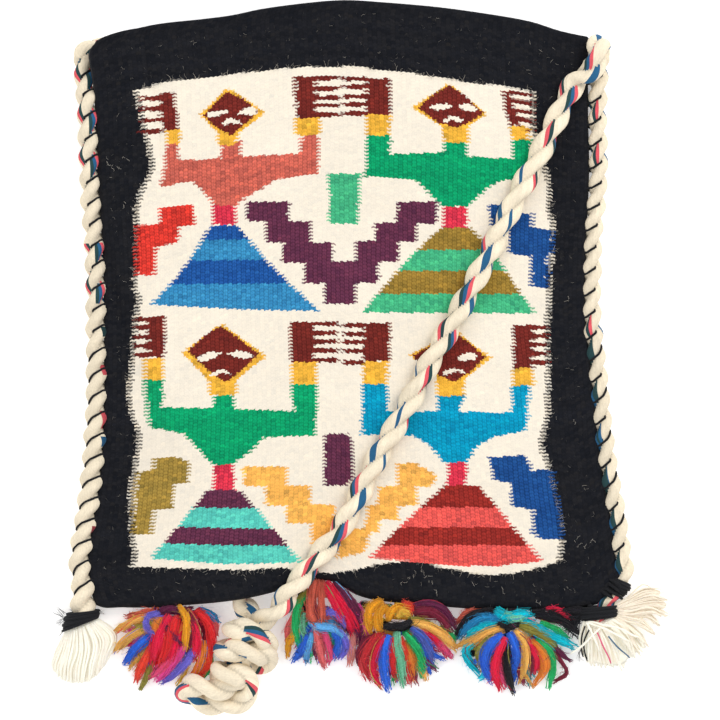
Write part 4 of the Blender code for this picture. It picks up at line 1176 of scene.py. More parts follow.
def strand(b, points, r, colour, wiggle=0.5, count=16, sides=6):
    p = wavy(points, wiggle, count)
    p[:, 2] = np.maximum(p[:, 2], r + 0.1)
    radii = r * (1 + 0.10 * np.sin(np.linspace(0, rng.uniform(9, 15), count) + rng.uniform(0, 6)))
    radii[-1] *= 0.75
    radii[-2] *= 0.95
    tube(b, p, radii, sides, colour * rng.uniform(0.95, 1.03), 0.72)


def along(points, t):
    p = catmull(points, 8)
    s = lengths_of(p)
    return np.array([np.interp(t * s[-1], s, p[:, k]) for k in range(p.shape[1])])


def tassel_core(b, curves, height, share, colour):
    """Closed soft body beneath the strands; curves run from the binding to the tips, left to right."""
    along_n, across_n = 14, 13
    w = np.linspace(0.07, 0.93, across_n)
    t = np.linspace(0.02, 0.90, along_n)
    lines = [catmull(np.array([along(c, float(v)) for c in curves]), 8) for v in w]
    lines = [respace(line, count=101) for line in lines]
    rings = []
    for tt in t:
        upper, lower = [], []
        for v, line in zip(w, lines):
            q = line[int(round(tt * 100))]
            top = share * height(float(v), float(tt))
            upper.append(place(q[0], q[1], max(top, 0.9)))
            lower.append(place(q[0], q[1], 0.45))
        rings.append(np.array(upper + lower[::-1]))
    rings = np.array(rings)
    n, m = rings.shape[:2]
    ends = np.array([rings[0].mean(axis=0), rings[-1].mean(axis=0)])
    k = np.arange(m)
    k2 = (k + 1) % m
    tris = np.concatenate([np.stack([np.full(m, n * m), k2, k], axis=1),
                           np.stack([np.full(m, n * m + 1), (n - 1) * m + k, (n - 1) * m + k2], axis=1)])
    b.add(np.concatenate([rings.reshape(-1, 3), ends]), grid_quads(n, m, True)[:, ::-1], colour, tris[:, ::-1], colour)


tl = Builder()
START_L = [(66, 630), (75, 627), (86, 623), (97, 619)]
MID_L = [(56, 650), (70, 650), (92, 646), (116, 634)]
LATE_L = [(51, 663), (64, 668), (88, 668), (111, 653)]
END_L = [(53, 672), (61, 680), (76, 684), (89, 681), (98, 673), (104, 664)]
for layer_z, many, size in ((1.6, 20, 0.66), (4.4, 24, 0.66), (7.6, 24, 0.68), (10.4, 22, 0.70), (12.6, 15, 0.70)):
    for k in range(many):
        w = (k + 0.5 + rng.uniform(-0.3, 0.3)) / many
        dome = math.sqrt(max(0.0, 1 - (2 * w - 1) ** 2 * 0.92))
        high = 0.9 + layer_z * (0.2 + 0.8 * dome)
        short = rng.uniform(0.88, 1.0)
        wc = 0.5 + (w - 0.5) * (1.0 if layer_z < 11 else 0.8)
        s0, m0, l0, e0 = along(START_L, wc), along(MID_L, wc), along(LATE_L, wc), along(END_L, wc)
        m0 = m0 + rng.normal(0, 0.7, 2)
        pts = [place(*s0, 7.3 + (high - 7.3) * 0.35), place(*m0, high * 1.05), place(*l0, high * 0.92),
               place(*(l0 + (e0 - l0) * short), max(0.8, high * 0.5))]
        strand(tl, pts, size * rng.uniform(0.92, 1.08), TASSEL, 0.45)


def left_height(w, t):
    dome = math.sqrt(max(0.0, 1 - (2 * w - 1) ** 2 * 0.92))
    high = 0.9 + 12.0 * (0.2 + 0.8 * dome)
    return float(np.interp(t, [0, 0.35, 0.75, 1.0], [7.3 + (high - 7.3) * 0.35, high, high * 0.9, high * 0.45]))


tassel_core(tl, [START_L, MID_L, LATE_L, END_L], left_height, 0.84, TASSEL)
tassel_left = tl.build("tassel_strands_left", STRANDS)

tr = Builder()
# lower fan
START_R = [(584, 621), (592, 622), (602, 621), (612, 618)]
END_R = [(583, 652), (587, 663), (597, 669), (610, 671), (624, 671), (632, 662), (643, 655), (648, 645)]
for layer_z, many in ((1.4, 18), (4.0, 20), (6.8, 20), (9.4, 18)):
    for k in range(many):
        w = (k + 0.5 + rng.uniform(-0.4, 0.4)) / many
        w1 = float(np.clip(w + rng.normal(0, 0.05), 0, 1))
        dome = math.sqrt(max(0.0, 1 - (2 * w - 1) ** 2 * 0.85))
        high = 1.0 + layer_z * (0.3 + 0.7 * dome)
        s0, e0 = along(START_R, w), along(END_R, w1)
        bulge = np.array([(w - 0.30) * 15, 1.0])
        m0 = s0 + (e0 - s0) * 0.45 + bulge * rng.uniform(0.7, 1.1)
        e0 = s0 + (e0 - s0) * rng.uniform(0.86, 1.0)
        strand(tr, [place(*s0, 7.0 + 0.3 * layer_z), place(*m0, high * 1.1), place(*e0, max(0.9, high * 0.5))],
               rng.uniform(0.58, 0.68), TASSEL, 0.5)


def right_height(w, t):
    dome = math.sqrt(max(0.0, 1 - (2 * w - 1) ** 2 * 0.85))
    high = 1.0 + 9.0 * (0.3 + 0.7 * dome)
    return float(np.interp(t, [0, 0.45, 1.0], [9.0, high * 1.05, high * 0.5]))


MID_R = [(586, 637), (592, 643), (611, 646), (636, 632)]
tassel_core(tr, [START_R, MID_R, END_R], right_height, 0.80, TASSEL)
for pts, colour in (([(596, 630, 12.6), (603, 646, 13), (611, 663, 8)], linear((226, 104, 136))),
                    ([(608, 636, 12.2), (618, 647, 12.4), (630, 659, 7)], linear((84, 112, 136))),
                    ([(585, 626, 11), (581, 640, 11), (584, 658, 5)], THREAD_BLACK),
                    ([(590, 628, 11), (584, 642, 11), (588, 662, 5)], THREAD_BLACK)):
    strand(tr, [place(*p) for p in pts], 0.42, colour, 0.4)
# crossing strands over the lower fan
for x0, y0, x1, y1 in ((588, 621, 612, 628), (586, 622, 628, 640), (606, 622, 572, 654), (592, 622, 640, 636),
                       (586, 622, 598, 650)):
    strand(tr, [place(x0, y0, 11.5), place((x0 + x1) / 2 + 1, (y0 + y1) / 2 - 1, 13.6), place(x1, y1, 11.0)], 0.62,
           TASSEL, 0.8)
# upper fan of finer strands in tapering locks, coming from behind the binding
LOCKS = [((627, 601), (645, 591), (663, 592)), ((629, 604), (650, 597), (669, 601)), ((630, 608), (652, 603), (668, 607)),
         ((630, 612), (650, 608), (670, 616)), ((630, 616), (646, 614), (661, 626)), ((629, 620), (643, 624), (656, 634)),
         ((626, 624), (638, 634), (649, 647)), ((622, 626), (632, 640), (640, 654))]
for number, (near, middle, tip) in enumerate(LOCKS):
    for k in range(17):
        off = rng.normal(0, 1, 2)
        high = 4.2 + 1.6 * off[1] + (2.0 if number % 2 else 0.0)
        gather = rng.uniform(0.80, 1.03)
        m0 = np.array(middle, float) + np.array([0.6, 2.6]) * off[0]
        e0 = np.array(near, float) + (np.array(tip, float) - near) * gather + np.array([0.3, 1.0]) * off[0]
        strand(tr, [place(606 + rng.uniform(-3, 3), 612 + rng.uniform(-4, 5), 6.4), place(near[0], near[1] + 1.6 * off[0], 6.0 + 0.5 * high),
                    place(*m0, max(1.2, high + 2)), place(*e0, max(0.8, high * 0.5))], rng.uniform(0.34, 0.48), FLUFF, 0.5, 13, 5)
tassel_right = tr.build("tassel_strands_right", STRANDS)

# ---------------------------------------------------------------- pompoms
YARN = {
    "mustard": linear((216, 158, 76)), "amber": linear((244, 164, 36)), "violet": linear((96, 88, 178)),
    "olive": linear((122, 116, 48)), "royal": linear((34, 84, 182)), "orange_red": linear((224, 62, 44)),
    "crimson": linear((206, 24, 58)), "red": linear((214, 40, 44)), "teal_blue": linear((26, 112, 160)),
    "magenta": linear((206, 62, 134)), "pink": linear((226, 74, 120)), "orange": linear((236, 132, 50)),
    "green": linear((28, 150, 84)), "plum": linear((84, 26, 56)), "brown": linear((168, 74, 58)),
    "light_blue": linear((84, 150, 204)), "coral": linear((228, 104, 106)), "turquoise": linear((0, 158, 176)),
    "black": linear((26, 24, 30)), "mint": linear((98, 166, 134)), "indigo": linear((66, 80, 154)),
    "dusty": linear((196, 122, 116)), "maroon": linear((104, 26, 46)), "dark_red": linear((160, 34, 40)),
    "yellow": linear((240, 182, 66)), "teal": linear((0, 122, 130)),
}


def hair(b, q, radius, colour):
    """Fine closed three-sided fibre along q."""
    q[:, 2] = np.maximum(q[:, 2], 0.2)
    tube(b, q, radius, 3, colour, spin=float(rng.uniform(0, 2)))


def wool(b, points, width, name, fibres, others=(), wisps=22):
    """A thick soft yarn: a slim body inside a sheath of loose hairs that end unevenly, its stray hairs partly lightened
    as painted highlight.
    """
    colour = YARN[name]
    count = 11
    p = respace(catmull(points, 6), count=count)
    s = np.linspace(0, 1, count)
    a = rng.uniform(0, 6.28, 4)
    p[:, 0] += 0.4 * np.sin(s * 7 + a[0]) * s
    p[:, 1] += 0.4 * np.sin(s * 6 + a[1]) * s
    radii = width * UNIT_MM / 2 * (1 + 0.08 * np.sin(s * 9 + a[2])) * (1 - 0.35 * np.clip(s - 0.8, 0, 1) / 0.2)
    radii[0] *= 0.75
    p[:, 2] = np.maximum(p[:, 2], radii * 0.9 + 0.1)
    side, over = simple_frames(p)
    tint = rng.uniform(0.9, 1.08)
    body = radii * 0.66
    body[-1] *= 0.25
    body[-2] *= 0.75
    tube(b, p, body, 7, colour * 0.92 * tint)
    for _ in range(fibres):
        first = 0 if rng.uniform() < 0.6 else int(rng.integers(1, 4))
        last = count if rng.uniform() < 0.7 else int(rng.integers(count - 3, count))
        seg = slice(first, last)
        ang = rng.uniform(0, 6.28) + (s[seg] - s[first]) * rng.uniform(0.8, 3.0)
        out = radii[seg] * (0.60 + 0.44 * rng.uniform() ** 0.7) + 0.12 * np.sin(s[seg] * rng.uniform(6, 16) + a[3])
        q = p[seg] + (side[seg] * np.cos(ang)[:, None] + over[seg] * np.sin(ang)[:, None]) * out[:, None]
        if last == count:
            tail = (p[-1] - p[-3]) / np.linalg.norm(p[-1] - p[-3])
            q = np.concatenate([q, q[-1:] + tail * rng.uniform(0.2, 2.6) + rng.normal(0, 0.35, 3)])
        shade = colour if not others or rng.uniform() > 0.035 else YARN[others[int(rng.integers(len(others)))]]
        hair(b, q, rng.uniform(0.17, 0.30), shade * tint * rng.uniform(0.74, 1.10))
    for _ in range(wisps):
        first = int(rng.integers(0, count - 4))
        seg = slice(first, first + 4)
        ang = rng.uniform(0, 6.28)
        stray = np.linspace(0, 1, 4) ** 1.5 * rng.uniform(0.3, 2.8)
        q = p[seg] + (side[seg] * math.cos(ang) + over[seg] * math.sin(ang)) * (radii[seg] + stray)[:, None]
        # the wisps vary from 0.9 to 1.5 times their yarn's colour: random tone, the lighter ones a painted highlight on
        # the fuzz
        hair(b, q + rng.normal(0, 0.18, q.shape), rng.uniform(0.05, 0.10), colour * rng.uniform(0.9, 1.5))
    for _ in range(wisps + 2 if wisps > 12 else 0):
        k = int(rng.integers(1, count - 1))
        ang = rng.uniform(-0.4, math.pi + 0.4)
        away = side[k] * math.cos(ang) + over[k] * math.sin(ang)
        ahead = (p[k + 1] - p[k - 1]) / np.linalg.norm(p[k + 1] - p[k - 1])
        across_way = np.cross(ahead, away)
        lean_a = rng.uniform(-1.0, 1.0)
        # one hair in ten is plum or black: partly real dark hair of those yarns, partly painted shade between the yarns
        shade = YARN["plum" if rng.uniform() < 0.5 else "black"] if rng.uniform() < 0.10 else colour
        heading = (ahead * math.sin(lean_a) + across_way * math.cos(lean_a)) * rng.choice((-1.0, 1.0))
        run = rng.uniform(1.3, 4.4)
        t = np.linspace(0, 1, 4)[:, None]
        q = p[k] + away * (radii[k] * 0.98) + heading * run * (t - 0.2) + away * (rng.uniform(-0.2, 1.3) * t ** 1.5)
        q = q + rng.normal(0, 0.16, q.shape)
        # the crossing hairs range from 0.62 to 1.6 times their colour: random tone, the lighter ones a painted
        # highlight on the fuzz
        hair(b, q, rng.uniform(0.08, 0.15), np.clip(shade * rng.uniform(0.62, 1.6) + 0.01, 0, 0.95))


# (colour, width, [(x, y, height), ...]) from the tie outwards
POMS = [
    [("mustard", 8, [(154, 619, 13), (140, 618, 15), (127, 624, 12), (116, 633, 6)]),
     ("mustard", 8, [(152, 626, 14), (137, 632, 16), (125, 641, 12), (115, 652, 5)]),
     ("olive", 7, [(154, 622, 15), (143, 627, 16), (131, 636, 12), (122, 646, 8)]),
     ("brown", 7, [(157, 614, 12), (147, 612, 12), (136, 615, 9), (128, 618, 6)]),
     ("violet", 6, [(160, 613, 14), (149, 616, 17), (147, 626, 19), (156, 634, 20)]),
     ("royal", 9, [(154, 634, 15), (143, 642, 17), (133, 652, 13), (125, 664, 6)]),
     ("mustard", 5, [(146, 650, 10), (136, 659, 9), (129, 668, 4)]),
     ("orange_red", 8, [(154, 642, 16), (147, 656, 17), (141, 669, 12), (135, 682, 5)]),
     ("crimson", 12, [(170, 616, 14), (162, 630, 20), (156, 646, 20), (152, 661, 14)]),
     ("red", 11, [(178, 616, 14), (172, 632, 21), (167, 648, 20), (161, 664, 14)]),
     ("crimson", 11, [(182, 622, 14), (178, 638, 19), (172, 654, 19), (164, 668, 12)]),
     ("amber", 7, [(179, 605, 13), (186, 616, 19), (187, 630, 21), (186, 646, 19)]),
     ("crimson", 9, [(188, 610, 13), (195, 624, 19), (198, 640, 19), (194, 657, 15)]),
     ("maroon", 7, [(184, 608, 12), (192, 618, 18), (195, 632, 19), (190, 648, 17)]),
     ("red", 10, [(196, 610, 12), (208, 622, 15), (212, 640, 14), (206, 659, 9)]),
     ("teal_blue", 7, [(198, 611, 10), (209, 613, 11), (217, 622, 8)]),
     ("coral", 6, [(204, 612, 9), (214, 622, 9), (217, 634, 6)]),
     ("magenta", 9, [(186, 640, 17), (178, 656, 18), (167, 669, 13), (156, 679, 6)]),
     ("violet", 8, [(196, 645, 16), (188, 660, 16), (176, 671, 12), (162, 682, 5)]),
     ("pink", 9, [(178, 648, 19), (168, 661, 17), (157, 671, 11), (147, 679, 5)]),
     ("orange", 8, [(204, 640, 14), (203, 656, 15), (197, 670, 11), (187, 682, 5)]),
     ("orange_red", 8, [(209, 646, 12), (208, 661, 12), (200, 674, 9), (191, 684, 4)]),
     ("green", 8, [(208, 652, 9), (209, 666, 9), (199, 681, 5)]),
     ("olive", 6, [(153, 660, 11), (148, 672, 9), (141, 688, 3)]),
     ("yellow", 5, [(188, 662, 10), (183, 676, 7), (178, 684, 3)]),
     ("plum", 7, [(160, 612, 12), (170, 608, 13), (180, 612, 13)]),
     ("plum", 6, [(164, 622, 18), (170, 630, 21), (180, 640, 21)]),
     ("orange", 6, [(162, 618, 16), (156, 626, 20), (157, 636, 20)])],
    [("brown", 11, [(316, 580, 10), (312, 592, 17), (312, 608, 20), (317, 625, 19)]),
     ("brown", 8, [(322, 581, 10), (322, 594, 18), (322, 608, 21), (321, 622, 19)]),
     ("green", 7, [(306, 594, 12), (298, 606, 15), (296, 626, 15), (300, 650, 7)]),
     ("olive", 6, [(309, 590, 12), (300, 599, 14), (297, 614, 14), (298, 628, 12)]),
     ("light_blue", 8, [(309, 621, 17), (320, 626, 20), (334, 628, 19), (345, 640, 12)]),
     ("crimson", 9, [(327, 582, 10), (337, 597, 17), (346, 613, 16), (353, 634, 9)]),
     ("plum", 9, [(334, 583, 10), (346, 598, 15), (355, 618, 13), (358, 646, 6)]),
     ("crimson", 7, [(324, 584, 12), (332, 598, 19), (338, 611, 19), (343, 624, 14)]),
     ("violet", 6, [(324, 613, 19), (332, 611, 20), (340, 616, 18), (344, 624, 14)]),
     ("coral", 8, [(316, 628, 17), (319, 643, 16), (322, 655, 12), (324, 668, 5)]),
     ("pink", 6, [(324, 629, 18), (328, 644, 16), (329, 656, 11), (328, 664, 5)]),
     ("royal", 7, [(333, 629, 17), (338, 640, 16), (337, 650, 12), (333, 659, 5)]),
     ("violet", 7, [(338, 630, 15), (345, 640, 13), (345, 650, 9), (341, 658, 4)]),
     ("royal", 8, [(308, 634, 15), (304, 645, 13), (299, 653, 9), (294, 660, 4)]),
     ("light_blue", 6, [(312, 632, 16), (309, 645, 14), (307, 655, 9), (306, 662, 4)]),
     ("coral", 7, [(302, 606, 13), (293, 617, 13), (289, 628, 10), (287, 640, 6)]),
     ("amber", 7, [(300, 628, 12), (293, 637, 11), (288, 646, 7), (287, 655, 4)]),
     ("maroon", 7, [(312, 600, 17), (316, 612, 20), (316, 622, 19)]),
     ("mint", 5, [(304, 612, 15), (303, 628, 15), (306, 642, 11)])],
    [("amber", 13, [(382, 602, 10), (372, 607, 17), (368, 618, 18), (371, 634, 12)]),
     ("amber", 10, [(386, 606, 14), (379, 612, 19), (378, 622, 20), (380, 632, 18)]),
     ("amber", 9, [(388, 620, 18), (392, 610, 20), (399, 606, 17), (404, 612, 16)]),
     ("yellow", 7, [(396, 616, 18), (402, 610, 19), (408, 615, 17)]),
     ("orange_red", 8, [(402, 604, 12), (409, 606, 15), (411, 614, 15)]),
     ("crimson", 10, [(330, 587, 8), (343, 600, 14), (353, 616, 14), (358, 637, 8)]),
     ("plum", 8, [(341, 588, 8), (353, 604, 14), (362, 622, 13), (364, 640, 9)]),
     ("magenta", 6, [(356, 604, 11), (364, 618, 14), (366, 634, 12)]),
     ("dusty", 8, [(357, 630, 9), (352, 645, 8), (350, 664, 4)]),
     ("dark_red", 12, [(384, 632, 17), (371, 644, 18), (364, 660, 13), (369, 680, 5)]),
     ("crimson", 9, [(386, 636, 19), (376, 652, 19), (373, 668, 13), (381, 686, 5)]),
     ("maroon", 7, [(376, 632, 15), (364, 642, 14), (359, 656, 9), (362, 670, 4)]),
     ("royal", 10, [(389, 634, 20), (384, 650, 21), (384, 668, 15), (388, 690, 5)]),
     ("red", 7, [(393, 636, 20), (393, 652, 20), (393, 666, 14), (396, 680, 6)]),
     ("mint", 9, [(397, 631, 19), (396, 646, 21), (401, 660, 17), (402, 686, 5)]),
     ("orange_red", 6, [(400, 636, 19), (405, 650, 19), (408, 664, 13), (409, 676, 6)]),
     ("orange", 8, [(404, 640, 18), (410, 655, 17), (413, 668, 11), (413, 680, 5)]),
     ("green", 9, [(405, 632, 19), (414, 643, 20), (420, 656, 15), (423, 674, 6)]),
     ("indigo", 9, [(411, 627, 18), (423, 637, 19), (430, 652, 13), (430, 668, 5)]),
     ("royal", 6, [(414, 634, 17), (422, 648, 15), (427, 660, 10), (429, 672, 4)]),
     ("mustard", 10, [(411, 621, 17), (428, 625, 18), (443, 635, 13), (455, 650, 5)]),
     ("crimson", 6, [(416, 628, 16), (432, 636, 15), (441, 646, 10), (446, 656, 5)]),
     ("pink", 7, [(430, 636, 13), (442, 646, 10), (451, 657, 4)]),
     ("plum", 9, [(411, 606, 12), (428, 603, 14), (444, 611, 11), (455, 630, 5)]),
     ("maroon", 8, [(413, 611, 15), (430, 610, 16), (443, 620, 13), (452, 636, 6)]),
     ("black", 6, [(382, 626, 19), (393, 625, 22), (404, 623, 21), (412, 618, 17)]),
     ("olive", 5, [(408, 618, 17), (424, 620, 17), (438, 630, 12)]),
     ("green", 4, [(440, 626, 10), (450, 634, 8), (455, 642, 4)])],
    [("turquoise", 12, [(494, 611, 12), (506, 616, 18), (519, 614, 18), (532, 617, 13)]),
     ("mint", 7, [(504, 613, 17), (514, 617, 20), (524, 616, 18)]),
     ("black", 6, [(496, 623, 18), (507, 626, 22), (518, 624, 20)]),
     ("black", 7, [(500, 613, 13), (484, 611, 14), (468, 618, 11), (457, 636, 6)]),
     ("teal_blue", 9, [(500, 619, 16), (484, 618, 17), (471, 625, 13), (460, 637, 6)]),
     ("turquoise", 8, [(498, 624, 17), (486, 624, 18), (476, 630, 15), (467, 638, 10)]),
     ("mustard", 10, [(504, 628, 19), (488, 631, 20), (473, 640, 13), (457, 648, 5)]),
     ("turquoise", 8, [(478, 640, 13), (466, 649, 11), (469, 661, 8), (478, 673, 4)]),
     ("olive", 7, [(496, 632, 18), (484, 643, 18), (478, 656, 12), (482, 668, 6)]),
     ("royal", 11, [(502, 633, 20), (489, 645, 20), (484, 661, 15), (492, 682, 5)]),
     ("crimson", 9, [(505, 636, 21), (498, 651, 21), (495, 668, 15), (500, 688, 5)]),
     ("pink", 6, [(500, 654, 17), (501, 670, 13), (504, 686, 5)]),
     ("black", 8, [(508, 638, 20), (505, 654, 20), (508, 672, 14), (514, 693, 4)]),
     ("royal", 9, [(509, 631, 21), (514, 644, 22), (516, 658, 17), (513, 674, 9)]),
     ("mustard", 10, [(514, 629, 20), (524, 641, 21), (526, 659, 16), (520, 680, 6)]),
     ("maroon", 6, [(520, 636, 18), (530, 648, 17), (532, 662, 12), (529, 676, 6)]),
     ("crimson", 8, [(523, 637, 18), (533, 649, 17), (536, 660, 12), (535, 672, 6)]),
     ("teal", 5, [(522, 660, 11), (528, 672, 8), (530, 684, 4)]),
     ("orange", 9, [(530, 640, 16), (542, 652, 15), (545, 667, 10), (536, 684, 4)]),
     ("green", 8, [(536, 638, 15), (548, 650, 13), (553, 666, 8), (550, 687, 4)]),
     ("olive", 10, [(519, 625, 19), (533, 629, 19), (547, 639, 13), (557, 652, 6)]),
     ("turquoise", 10, [(521, 619, 17), (536, 627, 17), (553, 637, 12), (573, 648, 5)]),
     ("maroon", 4, [(550, 650, 9), (561, 661, 8), (567, 673, 5), (557, 682, 3)]),
     ("plum", 5, [(548, 644, 10), (560, 652, 8), (568, 660, 4)]),
     ("black", 10, [(530, 612, 11), (547, 615, 12), (563, 621, 10), (579, 636, 5)]),
     ("black", 8, [(548, 612, 9), (564, 613, 9), (579, 621, 6)]),
     ("crimson", 6, [(546, 609, 9), (560, 611, 10), (571, 619, 7)]),
     ("brown", 5, [(474, 610, 9), (464, 614, 8), (458, 624, 5)]),
     ("green", 6, [(540, 622, 13), (555, 629, 11), (567, 638, 6)])],
]
UNDER = [
    ((160, 640), 40, 34, ["red", "magenta", "royal", "olive", "mustard", "orange", "plum", "crimson"]),
    ((318, 625), 29, 34, ["brown", "royal", "plum", "green", "coral", "light_blue"]),
    ((404, 645), 43, 36, ["dark_red", "royal", "green", "plum", "orange", "mustard", "maroon"]),
    ((511, 650), 47, 36, ["royal", "black", "olive", "crimson", "turquoise", "mustard", "maroon"]),
]
DARK_NEAR_FOLD = [  # dark wool close under the fold, behind the bright yarns: partly real dark wool of the pompoms, partly painted shade in the gap under the fold
    [("plum", 8, [(150, 612, 6), (162, 613, 8), (176, 612, 8), (190, 609, 6)]),
     ("maroon", 8, [(160, 618, 9), (172, 619, 10), (186, 617, 9), (198, 612, 7)]),
     ("maroon", 7, [(196, 614, 8), (203, 626, 9), (205, 642, 9)])],
    [("black", 8, [(334, 587, 6), (344, 597, 9), (354, 608, 10), (362, 620, 8)]),
     ("plum", 9, [(328, 590, 8), (336, 602, 12), (342, 618, 12), (348, 634, 9)]),
     ("black", 7, [(300, 592, 6), (304, 602, 9), (308, 614, 10)])],
    [("black", 10, [(360, 604, 6), (372, 607, 9), (386, 609, 11), (398, 612, 12)]),
     ("black", 10, [(396, 607, 8), (408, 607, 10), (422, 608, 9), (438, 611, 6)]),
     ("maroon", 9, [(414, 616, 12), (428, 615, 12), (442, 617, 9), (455, 622, 5)]),
     ("black", 9, [(378, 618, 12), (386, 624, 14), (398, 626, 15), (410, 624, 13)]),
     ("plum", 8, [(356, 610, 6), (360, 622, 8), (362, 636, 8)])],
    [("black", 9, [(476, 614, 7), (490, 613, 10), (506, 612, 11), (522, 612, 9)]),
     ("black", 9, [(490, 622, 13), (504, 622, 15), (518, 622, 15), (532, 622, 12)]),
     ("brown", 7, [(466, 612, 5), (478, 610, 7), (492, 611, 8)]),
     ("maroon", 8, [(536, 616, 9), (550, 618, 9), (564, 622, 7)]),
     ("black", 8, [(556, 611, 7), (568, 611, 8), (580, 611, 9), (590, 612, 9)])],
]
TIES = [((157, 622), ["orange", "violet"], 0.0), ((312, 588), ["brown", "crimson"], 0.0),
        ((400, 618), ["amber", "orange_red"], 0.0), ((509, 621), ["black", "turquoise"], 0.0)]

for key in YARN:
    lighter = YARN[key] ** 0.95 * (1.75 if key != "black" else 0.95)
    YARN[key] = lighter * min(1.0, 0.95 / float(lighter.max()))
pom_pieces = []
for number, (strands, (mid, wide, tall, names), (tie, tie_names, _)) in enumerate(zip(POMS, UNDER, TIES), 1):
    b = Builder()
    for name, width, pts in strands:
        wool(b, [place(x, y, z * 0.93) for x, y, z in pts], width, name, 24, names)
    # soft lower layer that fills the body and its underside
    for k in range(30):
        a = 2 * math.pi * (k + rng.uniform(-0.3, 0.3)) / 30
        reach = rng.uniform(0.72, 0.98)
        ex, ey = mid[0] + wide * math.cos(a) * reach, mid[1] + 6 + tall * math.sin(a) * reach
        if ey < mid[1] - 16:
            ey = mid[1] - 16
        sx, sy = mid[0] + 6 * math.cos(a), mid[1] - 6 + 5 * math.sin(a)
        h = rng.uniform(7, 12)
        pts = [place(sx, sy, 8.5), place((sx + ex) / 2, (sy + ey) / 2, h), place(ex, ey, rng.uniform(2.5, 5))]
        wool(b, pts, rng.uniform(7, 10), names[k % len(names)], 9, names, 3)
    for name, width, pts in DARK_NEAR_FOLD[number - 1]:
        wool(b, [place(x, y, z) for x, y, z in pts], width, name, 16, names, 10)
    pom_pieces.append(b.build(f"pompom_wool_{number}", POM_WOOL))

tie_pieces = []
for number, ((x, y), names, _) in enumerate(TIES, 1):
    b = Builder()
    fx = [157, 320, 400, 511][number - 1]
    y0 = max(float(interp(BOTTOM, fx + d)) for d in (-9, -5, 0, 5, 9)) + 1.4
    centre = place(fx, y0 + 9, 6.9)
    for k, name in enumerate(names):
        t = np.linspace(0, 1, 64)
        ang = 2 * math.pi * 2.5 * t + k * 2
        p = centre + np.stack([5.2 * np.cos(ang), (t - 0.5) * 3.4 + (k - 0.5) * 1.0, 5.0 * np.sin(ang)], axis=1)
        tube(b, p, 0.85, 7, YARN[name] * 0.9)
    # neck of yarn that joins the fold
    low, top = cloth_heights(fx, float(interp(BOTTOM, fx)))
    neck_z = float(low + top) / 2
    for k in range(7):
        off = (k - 3) * 1.3
        name = (names + ["maroon", "brown"])[k % 4]
        p = catmull([place(fx + off, y0 - 2.5, neck_z), place(fx + off * 1.2, y0 + 4, 6.6 + rng.uniform(-1, 1.5)),
                     place(fx + off * 1.6, y0 + 13, 7.4 + rng.uniform(-1, 2.5))], 5)
        tube(b, p, 1.0, 7, YARN[name] * rng.uniform(0.8, 1.1))
    tie_pieces.append(b.build(f"pompom_yarn_tie_{number}", POM_WOOL))

# ---------------------------------------------------------------- lint and loose fibres
lint = Builder()
LINT_COLOUR = linear((214, 206, 192))


def surface(px, py):
    return float(cloth_heights(px, py)[1])


def cloth_spots(count):
    """Random drawing points well inside the cloth."""
    u, v = rng.uniform(0.02, 0.98, count), rng.uniform(0.02, 0.985, count)
    return bag_point(u, v)


sx, sy = cloth_spots(5200)
_, on_black = picture(sx, sy)
spots = [(a, b2) for a, b2, k in zip(sx, sy, on_black) if k]
for k, (px, py) in enumerate(spots[:800]):
    bright = rng.uniform() ** 5
    fibre(lint, place(px, py, surface(px, py) + 0.2), rng.uniform(0, 6.28), rng.uniform(0.4, 1.5) + 1.6 * bright,
          0.04 + 0.025 * bright, LINT_COLOUR * (0.10 + 0.8 * bright), 0.3, 0.8, 5)
for px, py in ((404, 581), (408, 577), (416, 574), (423, 571), (428, 577), (430, 580), (576, 541), (583, 545), (592, 539),
               (578, 545), (157, 123), (162, 136), (110, 165), (112, 168), (120, 168), (126, 160), (126, 206), (241, 567),
               (236, 571), (245, 576), (504, 592), (540, 604), (566, 588), (475, 586), (438, 592), (574, 420), (570, 300)):
    for _ in range(2):
        fibre(lint, place(px + rng.uniform(-2, 2), py + rng.uniform(-2, 2), surface(px, py) + 0.5), rng.uniform(0, 6.28),
              rng.uniform(0.9, 3.2), 0.065, LINT_COLOUR * 1.15, 0.5, 1.0, 8)
# wool hairs that stand over the black along the field's edge
edge = np.array(FIELD + FIELD[:1], float)
s_edge = lengths_of(edge)
for where in rng.uniform(0, s_edge[-1], 1100):
    p = np.array([np.interp(where, s_edge, edge[:, k]) for k in range(2)])
    q = np.array([np.interp((where + 1.5) % s_edge[-1], s_edge, edge[:, k]) for k in range(2)])
    d = q - p
    nrm = np.array([d[1], -d[0]]) / max(np.linalg.norm(d), 1e-6)
    mid_field = np.array([345, 320]) - p
    if np.dot(nrm, mid_field) > 0:
        nrm = -nrm
    level = abs(nrm[0])
    if rng.uniform() > 0.25 + 0.75 * level:
        continue
    start = p - nrm * rng.uniform(0, 2)
    fibre(lint, place(start[0], start[1], surface(*start) + 0.35), math.atan2(-nrm[1], nrm[0]) + rng.normal(0, 0.5),
          rng.uniform(1.5, 4.6), rng.uniform(0.05, 0.09), CREAM * rng.uniform(0.35, 0.9), 0.5, 0.8)
lint_piece = lint.build("wool_lint", LINT)

# ---------------------------------------------------------------- who carries and replaces what
for piece in [front, back, rope_left, rope_right, strap, thread_left, thread_right, binding_left, binding_right,
              tassel_left, tassel_right, lint_piece] + pom_pieces + tie_pieces:
    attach(piece, "root")
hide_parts("bag_cloth")
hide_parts("side_rope_left")
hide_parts("side_rope_right")
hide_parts("stitching_left")
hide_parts("stitching_right")
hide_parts("binding_left")
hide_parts("binding_right")
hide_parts("tassel_left")
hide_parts("tassel_right")
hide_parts("strap_front", "strap_bundle", "strap_back")
for number, (pom, tie) in enumerate(zip(pom_pieces, tie_pieces), 1):
    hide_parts(f"pompom_{number}")
    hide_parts(f"pompom_tie_{number}")

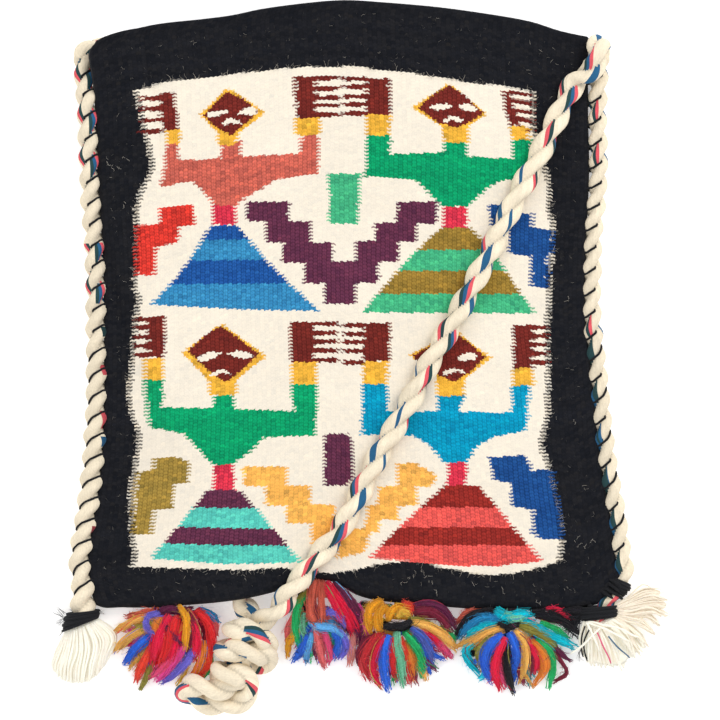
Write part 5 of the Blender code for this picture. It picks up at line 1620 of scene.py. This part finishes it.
strap_path = whole[cut_a:cut_b][::-1] * 0.001
keep = list(range(0, len(strap_path) - 1, 2)) + [len(strap_path) - 1]
strap_path = strap_path[keep]

# ---------------------------------------------------------------- floor, light and camera
floor_mat = bpy.data.materials.new("pale_floor")
floor_mat.use_nodes = True
floor_shader = floor_mat.node_tree.nodes["Principled BSDF"]
floor_shader.inputs["Base Color"].default_value = (0.93, 0.93, 0.93, 1)
floor_shader.inputs["Roughness"].default_value = 0.9
floor_shader.inputs["Specular IOR Level"].default_value = 0.1
floor_shader.inputs["Emission Color"].default_value = (1, 1, 1, 1)
floor_shader.inputs["Emission Strength"].default_value = 0.34
floor_mesh = bpy.data.meshes.new("floor")
floor_mesh.from_pydata([(-4, -4, -0.0003), (4, -4, -0.0003), (4, 4, -0.0003), (-4, 4, -0.0003)], [], [(0, 1, 2, 3)])
floor_mesh.materials.append(floor_mat)
floor = bpy.data.objects.new("floor", floor_mesh)
bpy.context.scene.collection.objects.link(floor)


def area_light(name, location, target, size, energy):
    data = bpy.data.lights.new(name, "AREA")
    data.shape = "DISK"
    data.size = size
    data.energy = energy
    obj = bpy.data.objects.new(name, data)
    obj.location = location
    direction = np.array(location) - np.array(target)
    yaw = math.atan2(direction[1], direction[0])
    tilt = math.acos(direction[2] / np.linalg.norm(direction))
    obj.rotation_euler = (0.0, tilt, yaw)
    bpy.context.scene.collection.objects.link(obj)
    return obj


area_light("key", (0.95, 1.05, 1.35), (0, 0, 0), 0.9, 15.0)
area_light("fill", (-1.2, -0.5, 1.6), (0, 0, 0), 1.6, 8.0)
world = bpy.data.worlds.new("studio")
world.use_nodes = True
world.node_tree.nodes["Background"].inputs["Color"].default_value = (1.0, 1.0, 1.0, 1)
world.node_tree.nodes["Background"].inputs["Strength"].default_value = 0.81
bpy.context.scene.world = world
bpy.context.scene.view_settings.view_transform = "Standard"
bpy.context.scene.view_settings.look = "None"

camera_data = bpy.data.cameras.new("camera")
DISTANCE = 2.2
camera_data.sensor_width = 36.0
camera_data.lens = 36.0 * DISTANCE / (720 * UNIT_MM * 0.001)
camera_data.clip_end = 50.0
camera = bpy.data.objects.new("camera", camera_data)
camera.location = ((360 - CENTRE_X) * UNIT_MM * 0.001, (CENTRE_Y - 360) * UNIT_MM * 0.001, DISTANCE + 0.010)
bpy.context.scene.collection.objects.link(camera)
bpy.context.scene.camera = camera
